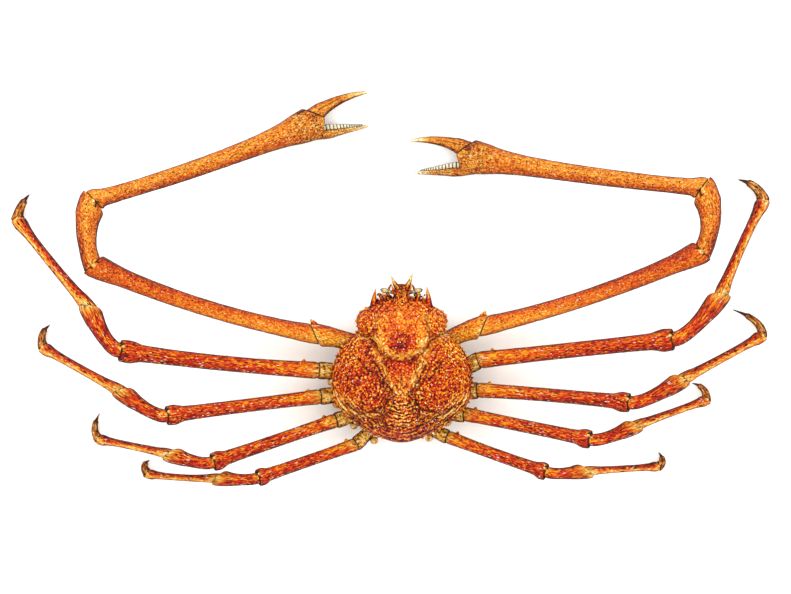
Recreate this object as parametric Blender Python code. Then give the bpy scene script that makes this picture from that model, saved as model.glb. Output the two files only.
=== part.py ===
"""Japanese spider crab, an adult male, as a still life-size model.

It rests on its belly with its walking legs arched out to the sides and both claws laid in front of it.
Metres, +Z up. The origin is on the floor under the belly and +Y points to the head.
"""

import math
import random

import bmesh
import bpy
import numpy as np
from mathutils import Matrix

# Clear space between two pieces that meet
GAP = 0.0003

# Body: heights above the floor
BELLY_Z = 0.0060
THORAX_TOP_Z = 0.0637
SHELL_BASE_Z = 0.0640
RIM_Z = 0.078
RIM_RISE_AT_FRONT = 0.010
DOME_HEIGHT = 0.060

# Carapace outline from the front to the rear: distance ahead of the origin, half width
CARAPACE_OUTLINE = (
    (0.188, 0.000),
    (0.187, 0.030),
    (0.182, 0.050),
    (0.166, 0.073),
    (0.156, 0.089),
    (0.139, 0.097),
    (0.117, 0.0935),
    (0.098, 0.114),
    (0.071, 0.134),
    (0.038, 0.147),
    (0.002, 0.149),
    (-0.032, 0.144),
    (-0.058, 0.123),
    (-0.084, 0.093),
    (-0.109, 0.049),
    (-0.1215, 0.000),
)
CARAPACE_CENTRE_Y = 0.020
CARAPACE_SIDES = 64
CARAPACE_RINGS = (0.94, 0.87, 0.78, 0.68, 0.57, 0.45, 0.33, 0.21, 0.10)

# Swollen regions of the back: x, y, reach across, reach along, height
REGIONS = (
    (0.000, 0.118, 0.052, 0.052, 0.017),
    (-0.082, 0.004, 0.052, 0.062, 0.015),
    (0.082, 0.004, 0.052, 0.062, 0.015),
    (-0.078, 0.137, 0.022, 0.022, 0.008),
    (0.078, 0.137, 0.022, 0.022, 0.008),
    (0.000, -0.070, 0.042, 0.036, 0.012),
    (-0.058, -0.088, 0.024, 0.018, 0.006),
    (0.058, -0.088, 0.024, 0.018, 0.006),
)

# Grooves between the regions: depth, width, then the points of the right-hand half
GROOVES = (
    (0.009, 0.0085, ((0.000, 0.056), (0.026, 0.060), (0.050, 0.078), (0.072, 0.106), (0.096, 0.116))),
    (0.007, 0.0075, ((0.050, 0.066), (0.030, 0.028), (0.015, -0.008))),
    (0.007, 0.0085, ((0.015, -0.010), (0.050, -0.056), (0.094, -0.060), (0.148, -0.020))),
    (0.005, 0.0065, ((0.000, -0.012), (0.016, -0.012))),
)

# Rostrum between the eyes and the spines of the front edge: root, tip, root radius
ROSTRUM_HALF_WIDTH = 0.018
ROSTRUM_START_Y = 0.140
ROSTRUM_END_Y = 0.217
ROSTRUM_LOW_Z = 0.083
ROSTRUM_TOP_Z = 0.107
FRONT_SPINES = (
    ((-0.0085, 0.2080, 0.0960), (-0.0215, 0.2335, 0.1060), 0.0060),
    ((0.0105, 0.2080, 0.0960), (0.0232, 0.2395, 0.1060), 0.0062),
    ((-0.0600, 0.1560, 0.0900), (-0.0551, 0.2050, 0.1000), 0.0090),
    ((0.0585, 0.1560, 0.0900), (0.0540, 0.2095, 0.1000), 0.0090),
    ((-0.0300, 0.1740, 0.0960), (-0.0400, 0.2000, 0.1040), 0.0055),
    ((0.0300, 0.1740, 0.0960), (0.0385, 0.2010, 0.1040), 0.0055),
    ((-0.0130, 0.1950, 0.1030), (-0.0215, 0.2170, 0.1070), 0.0038),
    ((0.0130, 0.1950, 0.1030), (0.0220, 0.2170, 0.1070), 0.0038),
)
SPINE_SIDES = 6

# Tubercles of the back, drawn for the right half and mirrored: x and y of the middle of a patch,
# its reach across and along, how many, spacing, height above the shell, root radius
TUBERCLE_SEED = 11
TUBERCLE_PATCHES = (
    (0.026, 0.128, 0.026, 0.052, 7, 0.0200, 0.0032, 0.0040),
    (0.085, 0.014, 0.052, 0.062, 17, 0.0180, 0.0062, 0.0052),
    (0.062, 0.052, 0.034, 0.030, 4, 0.0180, 0.0050, 0.0048),
    (0.079, 0.138, 0.016, 0.020, 3, 0.0150, 0.0050, 0.0045),
    (0.018, -0.070, 0.018, 0.034, 4, 0.0170, 0.0045, 0.0045),
    (0.056, -0.086, 0.026, 0.016, 4, 0.0150, 0.0050, 0.0045),
)
TUBERCLES_ON_MIDLINE = ((0.100, 0.0040), (0.066, 0.0030), (-0.046, 0.0045), (-0.072, 0.0055), (-0.096, 0.0045))
TUBERCLE_SIDES = 5
TUBERCLE_ROOT_DEPTH = 0.0040
EDGE_SPINE_STEP = 0.0185
EDGE_SPINE_RANGE = (0.160, -0.108)
EDGE_SPINE_HEIGHT = 0.0062
EDGE_SPINE_RADIUS = 0.0050

# Block under the rostrum that carries the feelers
FRONT_FACE_Y = 0.190
FRONT_BLOCK = ((-0.044, 0.150, 0.0665), (0.044, FRONT_FACE_Y, 0.0890))

# Eye: side offset of its root, place along the head, height, reach, stalk and bulb radius
EYE_Y = 0.1985
EYE_Z = 0.0930
EYE_LENGTH = 0.0265
EYE_FORWARD = 0.0060
EYE_STALK_RADIUS = 0.0044
EYE_BULB_RADIUS = 0.0058

# Feeler: root on the front block, then the bends of its path for the right-hand side
FEELER_ROOT = (0.030, FRONT_FACE_Y, 0.0770)
FEELER_PATH = ((0.031, 0.199, 0.0765), (0.027, 0.209, 0.0785), (0.0215, 0.2165, 0.0820))
FEELER_RADII = (0.0046, 0.0042, 0.0026, 0.0011)

# Facets of the thorax that carry the limbs: right-hand centre, heading in degrees, half width
HIPS = {
    "cheliped": ((0.067, 0.077), 24, 0.0195),
    "leg_1": ((0.085, 0.025), 6, 0.0180),
    "leg_2": ((0.085, -0.015), -6, 0.0170),
    "leg_3": ((0.075, -0.052), -25, 0.0170),
    "leg_4": ((0.052, -0.080), -50, 0.0150),
}
HIP_Z = 0.0405
THORAX_FRONT = ((0.050, 0.112), (0.042, 0.166))
THORAX_REAR = (0.018, -0.0985)
THORAX_WALL_LOW_Z = 0.0175
THORAX_BELLY_SCALE = 0.80
THORAX_BELLY_REAR_SCALE = 0.94
MOUTH_SLOPE_START = (0.070, BELLY_Z)
MOUTH_SLOPE_END = (0.166, 0.0530)

# Abdomen folded under the thorax: path from its tip, as distance ahead and height of the mid line, half width
ABDOMEN_THICKNESS = 0.0057
ABDOMEN_PATH = (
    (0.044, 0.0085),
    (0.040, 0.0115),
    (0.022, 0.0170),
    (0.019, 0.0165),
    (0.000, 0.0210),
    (-0.003, 0.0205),
    (-0.024, 0.0260),
    (-0.027, 0.0255),
    (-0.050, 0.0300),
    (-0.053, 0.0295),
    (-0.078, 0.0325),
    (-0.094, 0.0325),
)
ABDOMEN_BEND = ((-0.1005, 0.0060, 0.0320), (-0.1020, 0.0130, 0.0315))
ABDOMEN_REAR_Y = -0.1020
ABDOMEN_TOP_Z = 0.0636

# Mouth cover, one plate each side on the slope: rows of distance up the slope, half width, thickness
MOUTHPART_OFFSET_X = 0.0135
MOUTHPART_ROWS = (
    (0.018, 0.0070, 0.0050),
    (0.024, 0.0115, 0.0075),
    (0.052, 0.0122, 0.0085),
    (0.056, 0.0110, 0.0075),
    (0.060, 0.0125, 0.0090),
    (0.076, 0.0118, 0.0085),
    (0.086, 0.0070, 0.0060),
)

# Walking legs: end of the ischium, knee, wrist, ankle, bend of the toe and its tip
LEG_JOINTS = {
    ("leg_1", "left"): (
        (-0.178, 0.032, 0.052), (-0.595, 0.0755, 0.165), (-0.661, 0.1665, 0.152),
        (-0.821, 0.354, 0.024), (-0.820, 0.382, 0.016), (-0.798, 0.408, 0.0016),
    ),
    ("leg_2", "left"): (
        (-0.174, -0.024, 0.052), (-0.497, -0.0625, 0.155), (-0.594, -0.011, 0.142),
        (-0.766, 0.080, 0.022), (-0.778, 0.111, 0.014), (-0.753, 0.129, 0.0016),
    ),
    ("leg_3", "left"): (
        (-0.141, -0.075, 0.050), (-0.400, -0.1615, 0.140), (-0.491, -0.1445, 0.128),
        (-0.647, -0.116, 0.020), (-0.666, -0.095, 0.013), (-0.647, -0.061, 0.0015),
    ),
    ("leg_4", "left"): (
        (-0.098, -0.126, 0.048), (-0.305, -0.1955, 0.120), (-0.390, -0.196, 0.108),
        (-0.543, -0.190, 0.019), (-0.558, -0.171, 0.012), (-0.540, -0.161, 0.0015),
    ),
    ("leg_1", "right"): (
        (0.165, 0.054, 0.052), (0.574, 0.099, 0.165), (0.675, 0.192, 0.152),
        (0.774, 0.394, 0.024), (0.766, 0.430, 0.016), (0.722, 0.440, 0.0016),
    ),
    ("leg_2", "right"): (
        (0.163, -0.010, 0.052), (0.482, -0.035, 0.155), (0.594, 0.014, 0.142),
        (0.771, 0.105, 0.022), (0.776, 0.138, 0.014), (0.711, 0.161, 0.0016),
    ),
    ("leg_3", "right"): (
        (0.135, -0.061, 0.050), (0.400, -0.1135, 0.140), (0.496, -0.084, 0.128),
        (0.652, -0.032, 0.020), (0.655, -0.004, 0.013), (0.623, 0.004, 0.0015),
    ),
    ("leg_4", "right"): (
        (0.099, -0.110, 0.048), (0.307, -0.183, 0.120), (0.393, -0.181, 0.108),
        (0.549, -0.174, 0.019), (0.567, -0.166, 0.012), (0.551, -0.144, 0.0015),
    ),
}

# How far the middle of a leg's pieces bows out to the rear: merus, propodus
LEG_BOWS = {
    ("leg_1", "left"): (0.0049, 0.0027),
    ("leg_2", "left"): (-0.0005, 0.0008),
    ("leg_3", "left"): (0.0000, -0.0003),
    ("leg_4", "left"): (0.0003, 0.0034),
    ("leg_1", "right"): (-0.0003, -0.0028),
    ("leg_2", "right"): (-0.0020, 0.0008),
    ("leg_3", "right"): (0.0000, 0.0001),
    ("leg_4", "right"): (0.0010, 0.0002),
}

# How far the joint plane at a leg's wrist turns to the head, in degrees
LEG_WRIST_TURNS = {
    ("leg_1", "left"): 38, ("leg_1", "right"): 22,
    ("leg_2", "left"): 40, ("leg_2", "right"): 30,
    ("leg_3", "left"): 40, ("leg_3", "right"): 38,
    ("leg_4", "left"): 43, ("leg_4", "right"): 46,
}

# The carpus leaves the knee in line with the merus and bends after this fraction of its length
KNEE_BEND_PLACE = 0.26

# Shaft widths of a leg's pieces
LEG_WIDTHS = {
    "leg_1": {"coxa": 0.0352, "merus": 0.0346, "carpus": 0.0315, "propodus": 0.0238, "dactyl": 0.0212},
    "leg_2": {"coxa": 0.0335, "merus": 0.0305, "carpus": 0.0282, "propodus": 0.0212, "dactyl": 0.0175},
    "leg_3": {"coxa": 0.0325, "merus": 0.0290, "carpus": 0.0258, "propodus": 0.0184, "dactyl": 0.0162},
    "leg_4": {"coxa": 0.0295, "merus": 0.0270, "carpus": 0.0240, "propodus": 0.0166, "dactyl": 0.0166},
}
LEG_SIDES = 10

# Forms along a piece: fraction of its length, width over shaft width, depth over shaft width
LEG_FORMS = {
    "coxa": (
        (0.00, 0.92, 0.86), (0.08, 1.00, 0.92), (0.34, 0.98, 0.90), (0.42, 0.86, 0.80),
        (0.50, 0.94, 0.86), (0.80, 1.00, 0.92), (0.94, 1.07, 1.00), (1.00, 1.00, 0.92),
    ),
    "merus": (
        (0.00, 0.94, 0.88), (0.02, 1.06, 0.98), (0.12, 1.00, 0.94), (0.36, 0.95, 0.90),
        (0.68, 0.97, 0.92), (0.88, 1.06, 1.00), (0.955, 1.42, 1.14), (1.00, 1.34, 1.06),
    ),
    "carpus": (
        (0.00, 1.00, 0.92), (0.15, 1.04, 0.96), (0.45, 1.02, 0.92), (0.68, 1.12, 0.98),
        (0.84, 1.34, 1.10), (0.94, 1.42, 1.14), (1.00, 1.30, 1.04),
    ),
    "propodus": (
        (0.00, 1.18, 1.02), (0.05, 1.28, 1.08), (0.18, 1.04, 0.92), (0.45, 0.90, 0.82),
        (0.70, 0.88, 0.80), (0.86, 1.02, 0.88), (0.95, 1.30, 1.04), (1.00, 1.18, 0.94),
    ),
    "dactyl": (
        (0.00, 1.12, 0.90), (0.07, 1.32, 1.02), (0.20, 1.10, 0.90), (0.38, 0.97, 0.80),
        (0.55, 0.84, 0.70), (0.68, 0.76, 0.62), (0.735, 0.72, 0.58), (0.775, 0.46, 0.40),
        (0.89, 0.27, 0.26), (1.00, 0.10, 0.10),
    ),
}
TOE_SIDES = 8

# Great clawed limbs: end of the ischium, elbow, wrist, corner of the gape, tips of both fingers
CHELIPED_JOINTS = {
    "left": (
        (-0.185, 0.109, 0.056), (-0.656, 0.257, 0.118), (-0.654, 0.394, 0.122),
        (-0.1665, 0.5712, 0.0257), (-0.071, 0.6275, 0.0035), (-0.070, 0.555, 0.0035),
    ),
    "right": (
        (0.174, 0.126, 0.056), (0.639, 0.286, 0.118), (0.638, 0.4200, 0.122),
        (0.1190, 0.4945, 0.0257), (0.017, 0.5230, 0.0035), (0.027, 0.4545, 0.0035),
    ),
}
CHELIPED_BOWS = {
    "left": {"coxa": 0.0, "merus": 0.0155, "carpus": 0.0130, "palm": -0.0097},
    "right": {"coxa": 0.013, "merus": -0.0135, "carpus": -0.0165, "palm": 0.0066},
}
CHELIPED_SIDES = 16
ISCHIUM_CUT_DEGREES = 34
CHELIPED_FORMS = {
    "coxa": (
        (0.00, 0.0185, 0.0175), (0.10, 0.0195, 0.0180), (0.26, 0.0190, 0.0178), (0.32, 0.0168, 0.0165),
        (0.40, 0.0188, 0.0175), (0.62, 0.0198, 0.0180), (0.84, 0.0228, 0.0200), (0.95, 0.0240, 0.0210),
        (1.00, 0.0215, 0.0190),
    ),
    "merus": (
        (0.00, 0.0196, 0.0188), (0.03, 0.0206, 0.0196), (0.10, 0.0190, 0.0184), (0.22, 0.0179, 0.0170),
        (0.45, 0.0176, 0.0165), (0.70, 0.0185, 0.0172), (0.85, 0.0202, 0.0185), (0.94, 0.0246, 0.0212),
        (0.98, 0.0262, 0.0224), (1.00, 0.0238, 0.0207),
    ),
    "carpus": (
        (0.00, 0.0208, 0.0190), (0.10, 0.0200, 0.0186), (0.24, 0.0194, 0.0186), (0.46, 0.0222, 0.0204),
        (0.66, 0.0255, 0.0222), (0.82, 0.0297, 0.0240), (0.92, 0.0302, 0.0245), (1.00, 0.0262, 0.0220),
    ),
    "palm": (
        (0.00, 0.0222, 0.0194), (0.017, 0.0234, 0.0200), (0.049, 0.0190, 0.0180), (0.155, 0.0176, 0.0170),
        (0.33, 0.0184, 0.0170), (0.534, 0.0194, 0.0172), (0.70, 0.0216, 0.0182), (0.815, 0.0265, 0.0205),
        (0.898, 0.0345, 0.0225), (0.946, 0.0368, 0.0224), (0.98, 0.0356, 0.0215), (1.01, 0.0340, 0.0200),
    ),
}

# Claw, in the hand's own frame: across is towards the movable finger
FINGER_CUT_DEGREES = 43
WEB_CUT_DEGREES = 27
MOVABLE_ROOT_ACROSS = 0.0150
MOVABLE_BOW = 0.0082
MOVABLE_FORM = (
    (0.00, 0.0180, 0.0150), (0.10, 0.0170, 0.0150), (0.24, 0.0136, 0.0132), (0.48, 0.0097, 0.0102),
    (0.67, 0.0072, 0.0078), (0.86, 0.0045, 0.0050), (0.96, 0.0029, 0.0034), (1.00, 0.0014, 0.0018),
)
FIXED_ROOT_BACK = 0.054
FIXED_ROOT_ACROSS = {"left": -0.0245, "right": -0.0280}
FIXED_FORM = (
    (0.00, 0.0050, 0.0090), (0.18, 0.0078, 0.0110), (0.29, 0.0097, 0.0128), (0.385, 0.0102, 0.0125),
    (0.54, 0.0076, 0.0105), (0.70, 0.0058, 0.0080), (0.865, 0.0042, 0.0055), (0.96, 0.0030, 0.0038),
    (1.00, 0.0014, 0.0018),
)

# Teeth of the fixed finger: how many, first and last place along it, radius and height of both
TOOTH_SIDES = 6
FIXED_TEETH = (8, 0.31, 0.84, (0.0044, 0.0024), (0.0142, 0.0052))

# Joint knob behind each leg's base: place along the base and offset to the rear
KNOBS = {
    ("leg_1", "left"): (0.70, 0.0225), ("leg_1", "right"): (0.60, 0.0130),
    ("leg_2", "left"): (0.65, 0.0190), ("leg_2", "right"): (0.60, 0.0130),
    ("leg_3", "left"): (0.54, 0.0215), ("leg_3", "right"): (0.48, 0.0185),
    ("leg_4", "left"): (0.50, 0.0205), ("leg_4", "right"): (0.45, 0.0195),
}
KNOB_RADIUS = 0.0085

# Bump on the front side of each merus near its root, and the front corner of the claw limbs' ischium
MERUS_BUMP_PLACE = 0.075
MERUS_BUMP_HEIGHT = 0.0050
MERUS_BUMP_RADIUS = 0.0062
ISCHIUM_CORNER_OFFSET = 0.0190
ISCHIUM_CORNER_HEIGHT = 0.0160
ISCHIUM_CORNER_RADIUS = 0.0085

# Colours, roughness and metallic value
FINISHES = {
    "carapace_shell": ((0.62, 0.11, 0.03, 1.0), 0.45, 0.0),
    "limb_shell": ((0.72, 0.20, 0.04, 1.0), 0.42, 0.0),
    "claw_shell": ((0.80, 0.33, 0.06, 1.0), 0.42, 0.0),
    "joint_shell": ((0.84, 0.62, 0.26, 1.0), 0.50, 0.0),
    "underside_shell": ((0.86, 0.70, 0.42, 1.0), 0.50, 0.0),
    "toe_shell": ((0.30, 0.13, 0.05, 1.0), 0.40, 0.0),
    "eye": ((0.70, 0.62, 0.42, 1.0), 0.20, 0.0),
    "feeler": ((0.45, 0.20, 0.07, 1.0), 0.50, 0.0),
}
SHARP_EDGE_DEGREES = 40


def clear_scene():
    """Remove whatever the scene holds."""
    for obj in list(bpy.data.objects):
        bpy.data.objects.remove(obj)


def make_materials():
    """One Principled material for each finish."""
    made = {}
    for name, (colour, roughness, metallic) in FINISHES.items():
        material = bpy.data.materials.new(name)
        material.use_nodes = True
        shader = material.node_tree.nodes["Principled BSDF"]
        shader.inputs["Base Color"].default_value = colour
        shader.inputs["Roughness"].default_value = roughness
        shader.inputs["Metallic"].default_value = metallic
        made[name] = material
    return made


def unit(vector):
    """The vector at length one."""
    return vector / np.linalg.norm(vector)


def level(vector):
    """The vector's horizontal direction."""
    return unit(np.array([vector[0], vector[1], 0.0]))


def smooth_step(value):
    """0 below zero, 1 above one, and a smooth rise between."""
    value = min(max(value, 0.0), 1.0)
    return value * value * (3 - 2 * value)


def new_object(name, bm, material):
    """A scene object that owns the bmesh's faces."""
    bmesh.ops.recalc_face_normals(bm, faces=bm.faces[:])
    bmesh.ops.triangulate(bm, faces=bm.faces[:])
    mesh = bpy.data.meshes.new(name)
    bm.to_mesh(mesh)
    bm.free()
    mesh.materials.append(material)
    mesh.shade_smooth()
    mesh.set_sharp_from_angle(angle=math.radians(SHARP_EDGE_DEGREES))
    obj = bpy.data.objects.new(name, mesh)
    bpy.context.scene.collection.objects.link(obj)
    return obj


def add_loft(bm, rings, tip=None):
    """A closed skin over the rings, with flat ends, or a point at the far end."""
    rows = [[bm.verts.new(point) for point in ring] for ring in rings]
    count = len(rows[0])
    for low, high in zip(rows, rows[1:]):
        for k in range(count):
            after = (k + 1) % count
            bm.faces.new((low[k], low[after], high[after], high[k]))
    bm.faces.new(rows[0][::-1])
    if tip is None:
        bm.faces.new(rows[-1])
        return
    point = bm.verts.new(tip)
    for k in range(count):
        bm.faces.new((rows[-1][k], rows[-1][(k + 1) % count], point))


def loft_object(name, rings, material, tip=None):
    """An object of one loft."""
    bm = bmesh.new()
    add_loft(bm, rings, tip)
    return new_object(name, bm, material)


def fuse(base, pieces):
    """Join closed pieces to the base with one union, and keep its largest closed surface."""
    helpers = bpy.data.collections.new("helpers")
    bpy.context.scene.collection.children.link(helpers)
    for piece in pieces:
        bpy.context.scene.collection.objects.unlink(piece)
        helpers.objects.link(piece)
    union = base.modifiers.new("union", "BOOLEAN")
    union.operation = "UNION"
    union.operand_type = "COLLECTION"
    union.collection = helpers
    graph = bpy.context.evaluated_depsgraph_get()
    mesh = bpy.data.meshes.new_from_object(base.evaluated_get(graph))
    base.modifiers.clear()
    base.data = mesh
    for piece in pieces:
        bpy.data.objects.remove(piece)
    bpy.data.collections.remove(helpers)
    keep_largest(base)
    mesh.shade_smooth()
    mesh.set_sharp_from_angle(angle=math.radians(SHARP_EDGE_DEGREES))


def keep_largest(obj):
    """Delete every closed surface of the object but the one of the largest volume."""
    bm = bmesh.new()
    bm.from_mesh(obj.data)
    bm.faces.ensure_lookup_table()
    left = set(bm.faces)
    islands = []
    while left:
        queue = [left.pop()]
        island = list(queue)
        while queue:
            for edge in queue.pop().edges:
                for face in edge.link_faces:
                    if face in left:
                        left.remove(face)
                        queue.append(face)
                        island.append(face)
        islands.append(island)
    islands.sort(key=len)
    scraps = [face for island in islands[:-1] for face in island]
    if scraps:
        bmesh.ops.delete(bm, geom=scraps, context="FACES")
        loose = [vert for vert in bm.verts if not vert.link_faces]
        bmesh.ops.delete(bm, geom=loose, context="VERTS")
        bm.to_mesh(obj.data)
    bm.free()


def ring_at(centre, tangent, half_width, half_depth, sides):
    """A level-sided oval across the tangent."""
    side = unit(np.cross((0.0, 0.0, 1.0), tangent))
    up = np.cross(tangent, side)
    angles = [math.tau * (k + 0.5) / sides for k in range(sides)]
    return [
        centre + side * half_width * math.cos(a) + up * half_depth * math.sin(a)
        for a in angles
    ]


class Bend:
    """A shallow arc from start to end, whose middle stands off the chord sideways by bow."""

    def __init__(self, start, end, bow=0.0, handle=None):
        self.start = np.array(start, float)
        self.end = np.array(end, float)
        side = unit(np.cross((0.0, 0.0, 1.0), self.end - self.start))
        middle = (self.start + self.end) / 2
        self.handle = middle + side * 2 * bow if handle is None else np.array(handle, float)

    def point(self, s):
        """The point at the fraction s."""
        return (1 - s) ** 2 * self.start + 2 * s * (1 - s) * self.handle + s * s * self.end

    def tangent(self, s):
        """The direction at the fraction s."""
        return unit((1 - s) * (self.handle - self.start) + s * (self.end - self.handle))


def joint_normal(before, after):
    """The normal of the plane that halves the angle between two pieces of a limb."""
    return unit(before.tangent(1.0) + after.tangent(0.0))


def turned(vector, degrees):
    """The vector turned about the vertical."""
    c = math.cos(math.radians(degrees))
    s = math.sin(math.radians(degrees))
    return np.array([c * vector[0] - s * vector[1], s * vector[0] + c * vector[1], vector[2]])


def piece_rings(bend, form, sides, start_plane, end_plane, start_gap=GAP / 2):
    """Rings along the bend whose first and last lie in the joint planes, where these are given.

    Rings close to a slanted plane lean with it, and less so with distance.
    """
    length = np.linalg.norm(bend.end - bend.start)
    rings = []
    for fraction, half_width, half_depth in form:
        centre = bend.point(fraction)
        tangent = bend.tangent(fraction)
        ring = ring_at(centre, tangent, half_width, half_depth, sides)
        moved = [np.array(point) for point in ring]
        ends = (
            (start_plane, fraction * length, bend.tangent(0.0), start_gap),
            (end_plane, (1 - fraction) * length, bend.tangent(1.0), -GAP / 2),
        )
        for plane, distance, direction, gap in ends:
            if plane is None:
                continue
            lean = np.dot(direction, plane)
            slope = math.sqrt(max(1 - lean * lean, 0.0)) / lean
            reach = 1.5 * max(half_width, half_depth) * slope + 0.004
            weight = max(0.0, 1 - distance / reach)
            for k, point in enumerate(ring):
                off = gap * weight - np.dot(point - centre, plane)
                moved[k] = moved[k] + weight * direction * off / lean
        rings.append(moved)
    return rings


def resting(rings):
    """The rings with nothing below the floor."""
    return [[np.array([p[0], p[1], max(p[2], 0.0)]) for p in ring] for ring in rings]


def scaled(form, width):
    """A form of width ratios as half widths and half depths in metres."""
    return tuple((f, w * width / 2, d * width / 2) for f, w, d in form)


def smooth_outline(points, count):
    """count points at equal steps along a smooth closed curve through the points."""
    points = np.array(points)
    dense = []
    for k in range(len(points)):
        a, b, c, d = (points[(k + j) % len(points)] for j in (-1, 0, 1, 2))
        for t in np.linspace(0, 1, 12, endpoint=False):
            dense.append(0.5 * (2 * b + (c - a) * t + (2 * a - 5 * b + 4 * c - d) * t * t
                                + (3 * b - 3 * c + d - a) * t ** 3))
    dense = np.array(dense + dense[:1])
    steps = np.linalg.norm(np.diff(dense, axis=0), axis=1)
    along = np.concatenate([[0], np.cumsum(steps)])
    wanted = np.linspace(0, along[-1], count, endpoint=False)
    return np.stack([np.interp(wanted, along, dense[:, i]) for i in (0, 1)], axis=1)


def carapace_outline():
    """The carapace's outline in plan."""
    right = [(half, y) for y, half in CARAPACE_OUTLINE]
    left = [(-half, y) for y, half in CARAPACE_OUTLINE[1:-1]]
    return smooth_outline(right + left[::-1], CARAPACE_SIDES)


def groove_depth(x, y):
    """How deep the grooves cut at a place on the back."""
    deepest = 0.0
    here = np.array([abs(x), y])
    for depth, width, points in GROOVES:
        points = np.array(points)
        for start, end in zip(points, points[1:]):
            along = np.dot(here - start, end - start) / np.dot(end - start, end - start)
            nearest = start + (end - start) * min(max(along, 0.0), 1.0)
            away = np.linalg.norm(here - nearest) / width
            deepest = max(deepest, depth * math.exp(-away * away))
    return deepest


def rim_height(y):
    """Height of the carapace's widest line, which rises towards the head."""
    return RIM_Z + RIM_RISE_AT_FRONT * smooth_step((y - 0.10) / 0.08)


def back_height(x, y, inset):
    """Height of the back at a place, where inset runs from 0 at the middle to 1 at the rim."""
    height = rim_height(y) + DOME_HEIGHT * max(1 - inset ** 2.5, 0.0) ** 0.72
    relief = -groove_depth(x, y)
    for at_x, at_y, across, along, rise in REGIONS:
        relief += rise * math.exp(-((x - at_x) / across) ** 2 - ((y - at_y) / along) ** 2)
    return height + relief * smooth_step((1 - inset) / 0.22)


def carapace_rings():
    """Rings from the flat base up round the rim and over the back, and the top point."""
    outline = carapace_outline()
    centre = np.array([0.0, CARAPACE_CENTRE_Y])
    rings = []
    for scale, share in ((0.93, 0.0), (0.985, 0.40), (1.0, 1.0)):
        ring = []
        for x, y in centre + (outline - centre) * scale:
            ring.append((x, y, SHELL_BASE_Z + (rim_height(y) - SHELL_BASE_Z) * share))
        rings.append(ring)
    for inset in CARAPACE_RINGS:
        places = centre + (outline - centre) * inset
        rings.append([(x, y, back_height(x, y, inset)) for x, y in places])
    return rings, (*centre, back_height(*centre, 0.0))


def spine(name, root, tip, radius, material):
    """A tapered spine with a slight belly and a fine point."""
    bend = Bend(root, tip)
    form = ((0.0, radius, radius), (0.55, radius * 0.62, radius * 0.62))
    rings = piece_rings(bend, form, SPINE_SIDES, None, None)
    return loft_object(name, rings, material, tip)


def inset_at(x, y, outline):
    """How far out a place lies, from 0 at the carapace's middle to 1 at its outline."""
    around = outline - np.array([0.0, CARAPACE_CENTRE_Y])
    angles = np.arctan2(around[:, 1], around[:, 0])
    order = np.argsort(angles)
    reach = np.hypot(around[:, 0], around[:, 1])
    angle = math.atan2(y - CARAPACE_CENTRE_Y, x)
    limit = np.interp(angle, angles[order], reach[order], period=math.tau)
    return math.hypot(x, y - CARAPACE_CENTRE_Y) / limit


def back_normal(x, y, outline):
    """Height and upward normal of the back at a place."""
    step = 0.004
    here, beside, ahead = (
        back_height(px, py, inset_at(px, py, outline)) for px, py in ((x, y), (x + step, y), (x, y + step))
    )
    return here, unit(np.array([here - beside, here - ahead, step]))


def tubercle_places(outline):
    """Places of the back's tubercles, with their height and root radius."""
    draw = random.Random(TUBERCLE_SEED)
    places = [(0.0, y, height, 0.0045) for y, height in TUBERCLES_ON_MIDLINE]
    for mid_x, mid_y, across, along, count, spacing, height, radius in TUBERCLE_PATCHES:
        made = 0
        for _ in range(400):
            x = mid_x + across * draw.uniform(-1, 1)
            y = mid_y + along * draw.uniform(-1, 1)
            inside = ((x - mid_x) / across) ** 2 + ((y - mid_y) / along) ** 2 < 1
            if not inside or x < 0.009 or inset_at(x, y, outline) > 0.90 or groove_depth(x, y) > 0.003:
                continue
            if all(math.hypot(x - other[0], y - other[1]) > spacing for other in places):
                places.append((x, y, height * draw.uniform(0.85, 1.2), radius * draw.uniform(0.9, 1.1)))
                made += 1
            if made == count:
                break
    return places + [(-x, y, height, radius) for x, y, height, radius in places if x > 0]


def tubercles(material):
    """Blunt cones over the back, each square to the shell under it."""
    outline = carapace_outline()
    made = []
    for x, y, height, radius in tubercle_places(outline):
        z, normal = back_normal(x, y, outline)
        foot = np.array([x, y, z])
        made.append(tubercle(foot, normal, height, radius, material))
    return made


def tubercle(foot, direction, height, radius, material):
    """A cone whose root is sunk under the foot."""
    root = foot - direction * max(TUBERCLE_ROOT_DEPTH, radius * 0.8)
    tip = foot + direction * height
    return loft_object("tubercle", [ring_at(root, direction, radius, radius, TUBERCLE_SIDES)], material, tip)


def edge_spines(material):
    """A row of short spines along both edges of the carapace."""
    front, rear = EDGE_SPINE_RANGE
    outline = smooth_outline([(half, y) for y, half in CARAPACE_OUTLINE], 400)
    made = []
    walked = EDGE_SPINE_STEP
    for before, here in zip(outline, outline[1:]):
        walked += np.linalg.norm(here - before)
        if not rear < here[1] < front or here[0] < 0.02 or walked < EDGE_SPINE_STEP:
            continue
        walked = 0.0
        outward = unit(np.array([before[1] - here[1], here[0] - before[0], 0.0004]))
        for sign in (-1, 1):
            foot = np.array([sign * here[0], here[1], rim_height(here[1]) + 0.002])
            direction = unit(np.array([sign * outward[0], outward[1], 0.28]))
            height = EDGE_SPINE_HEIGHT * (1 - 0.4 * smooth_step((here[1] - 0.09) / 0.03))
            made.append(tubercle(foot, direction, height, EDGE_SPINE_RADIUS, material))
    return made


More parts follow.
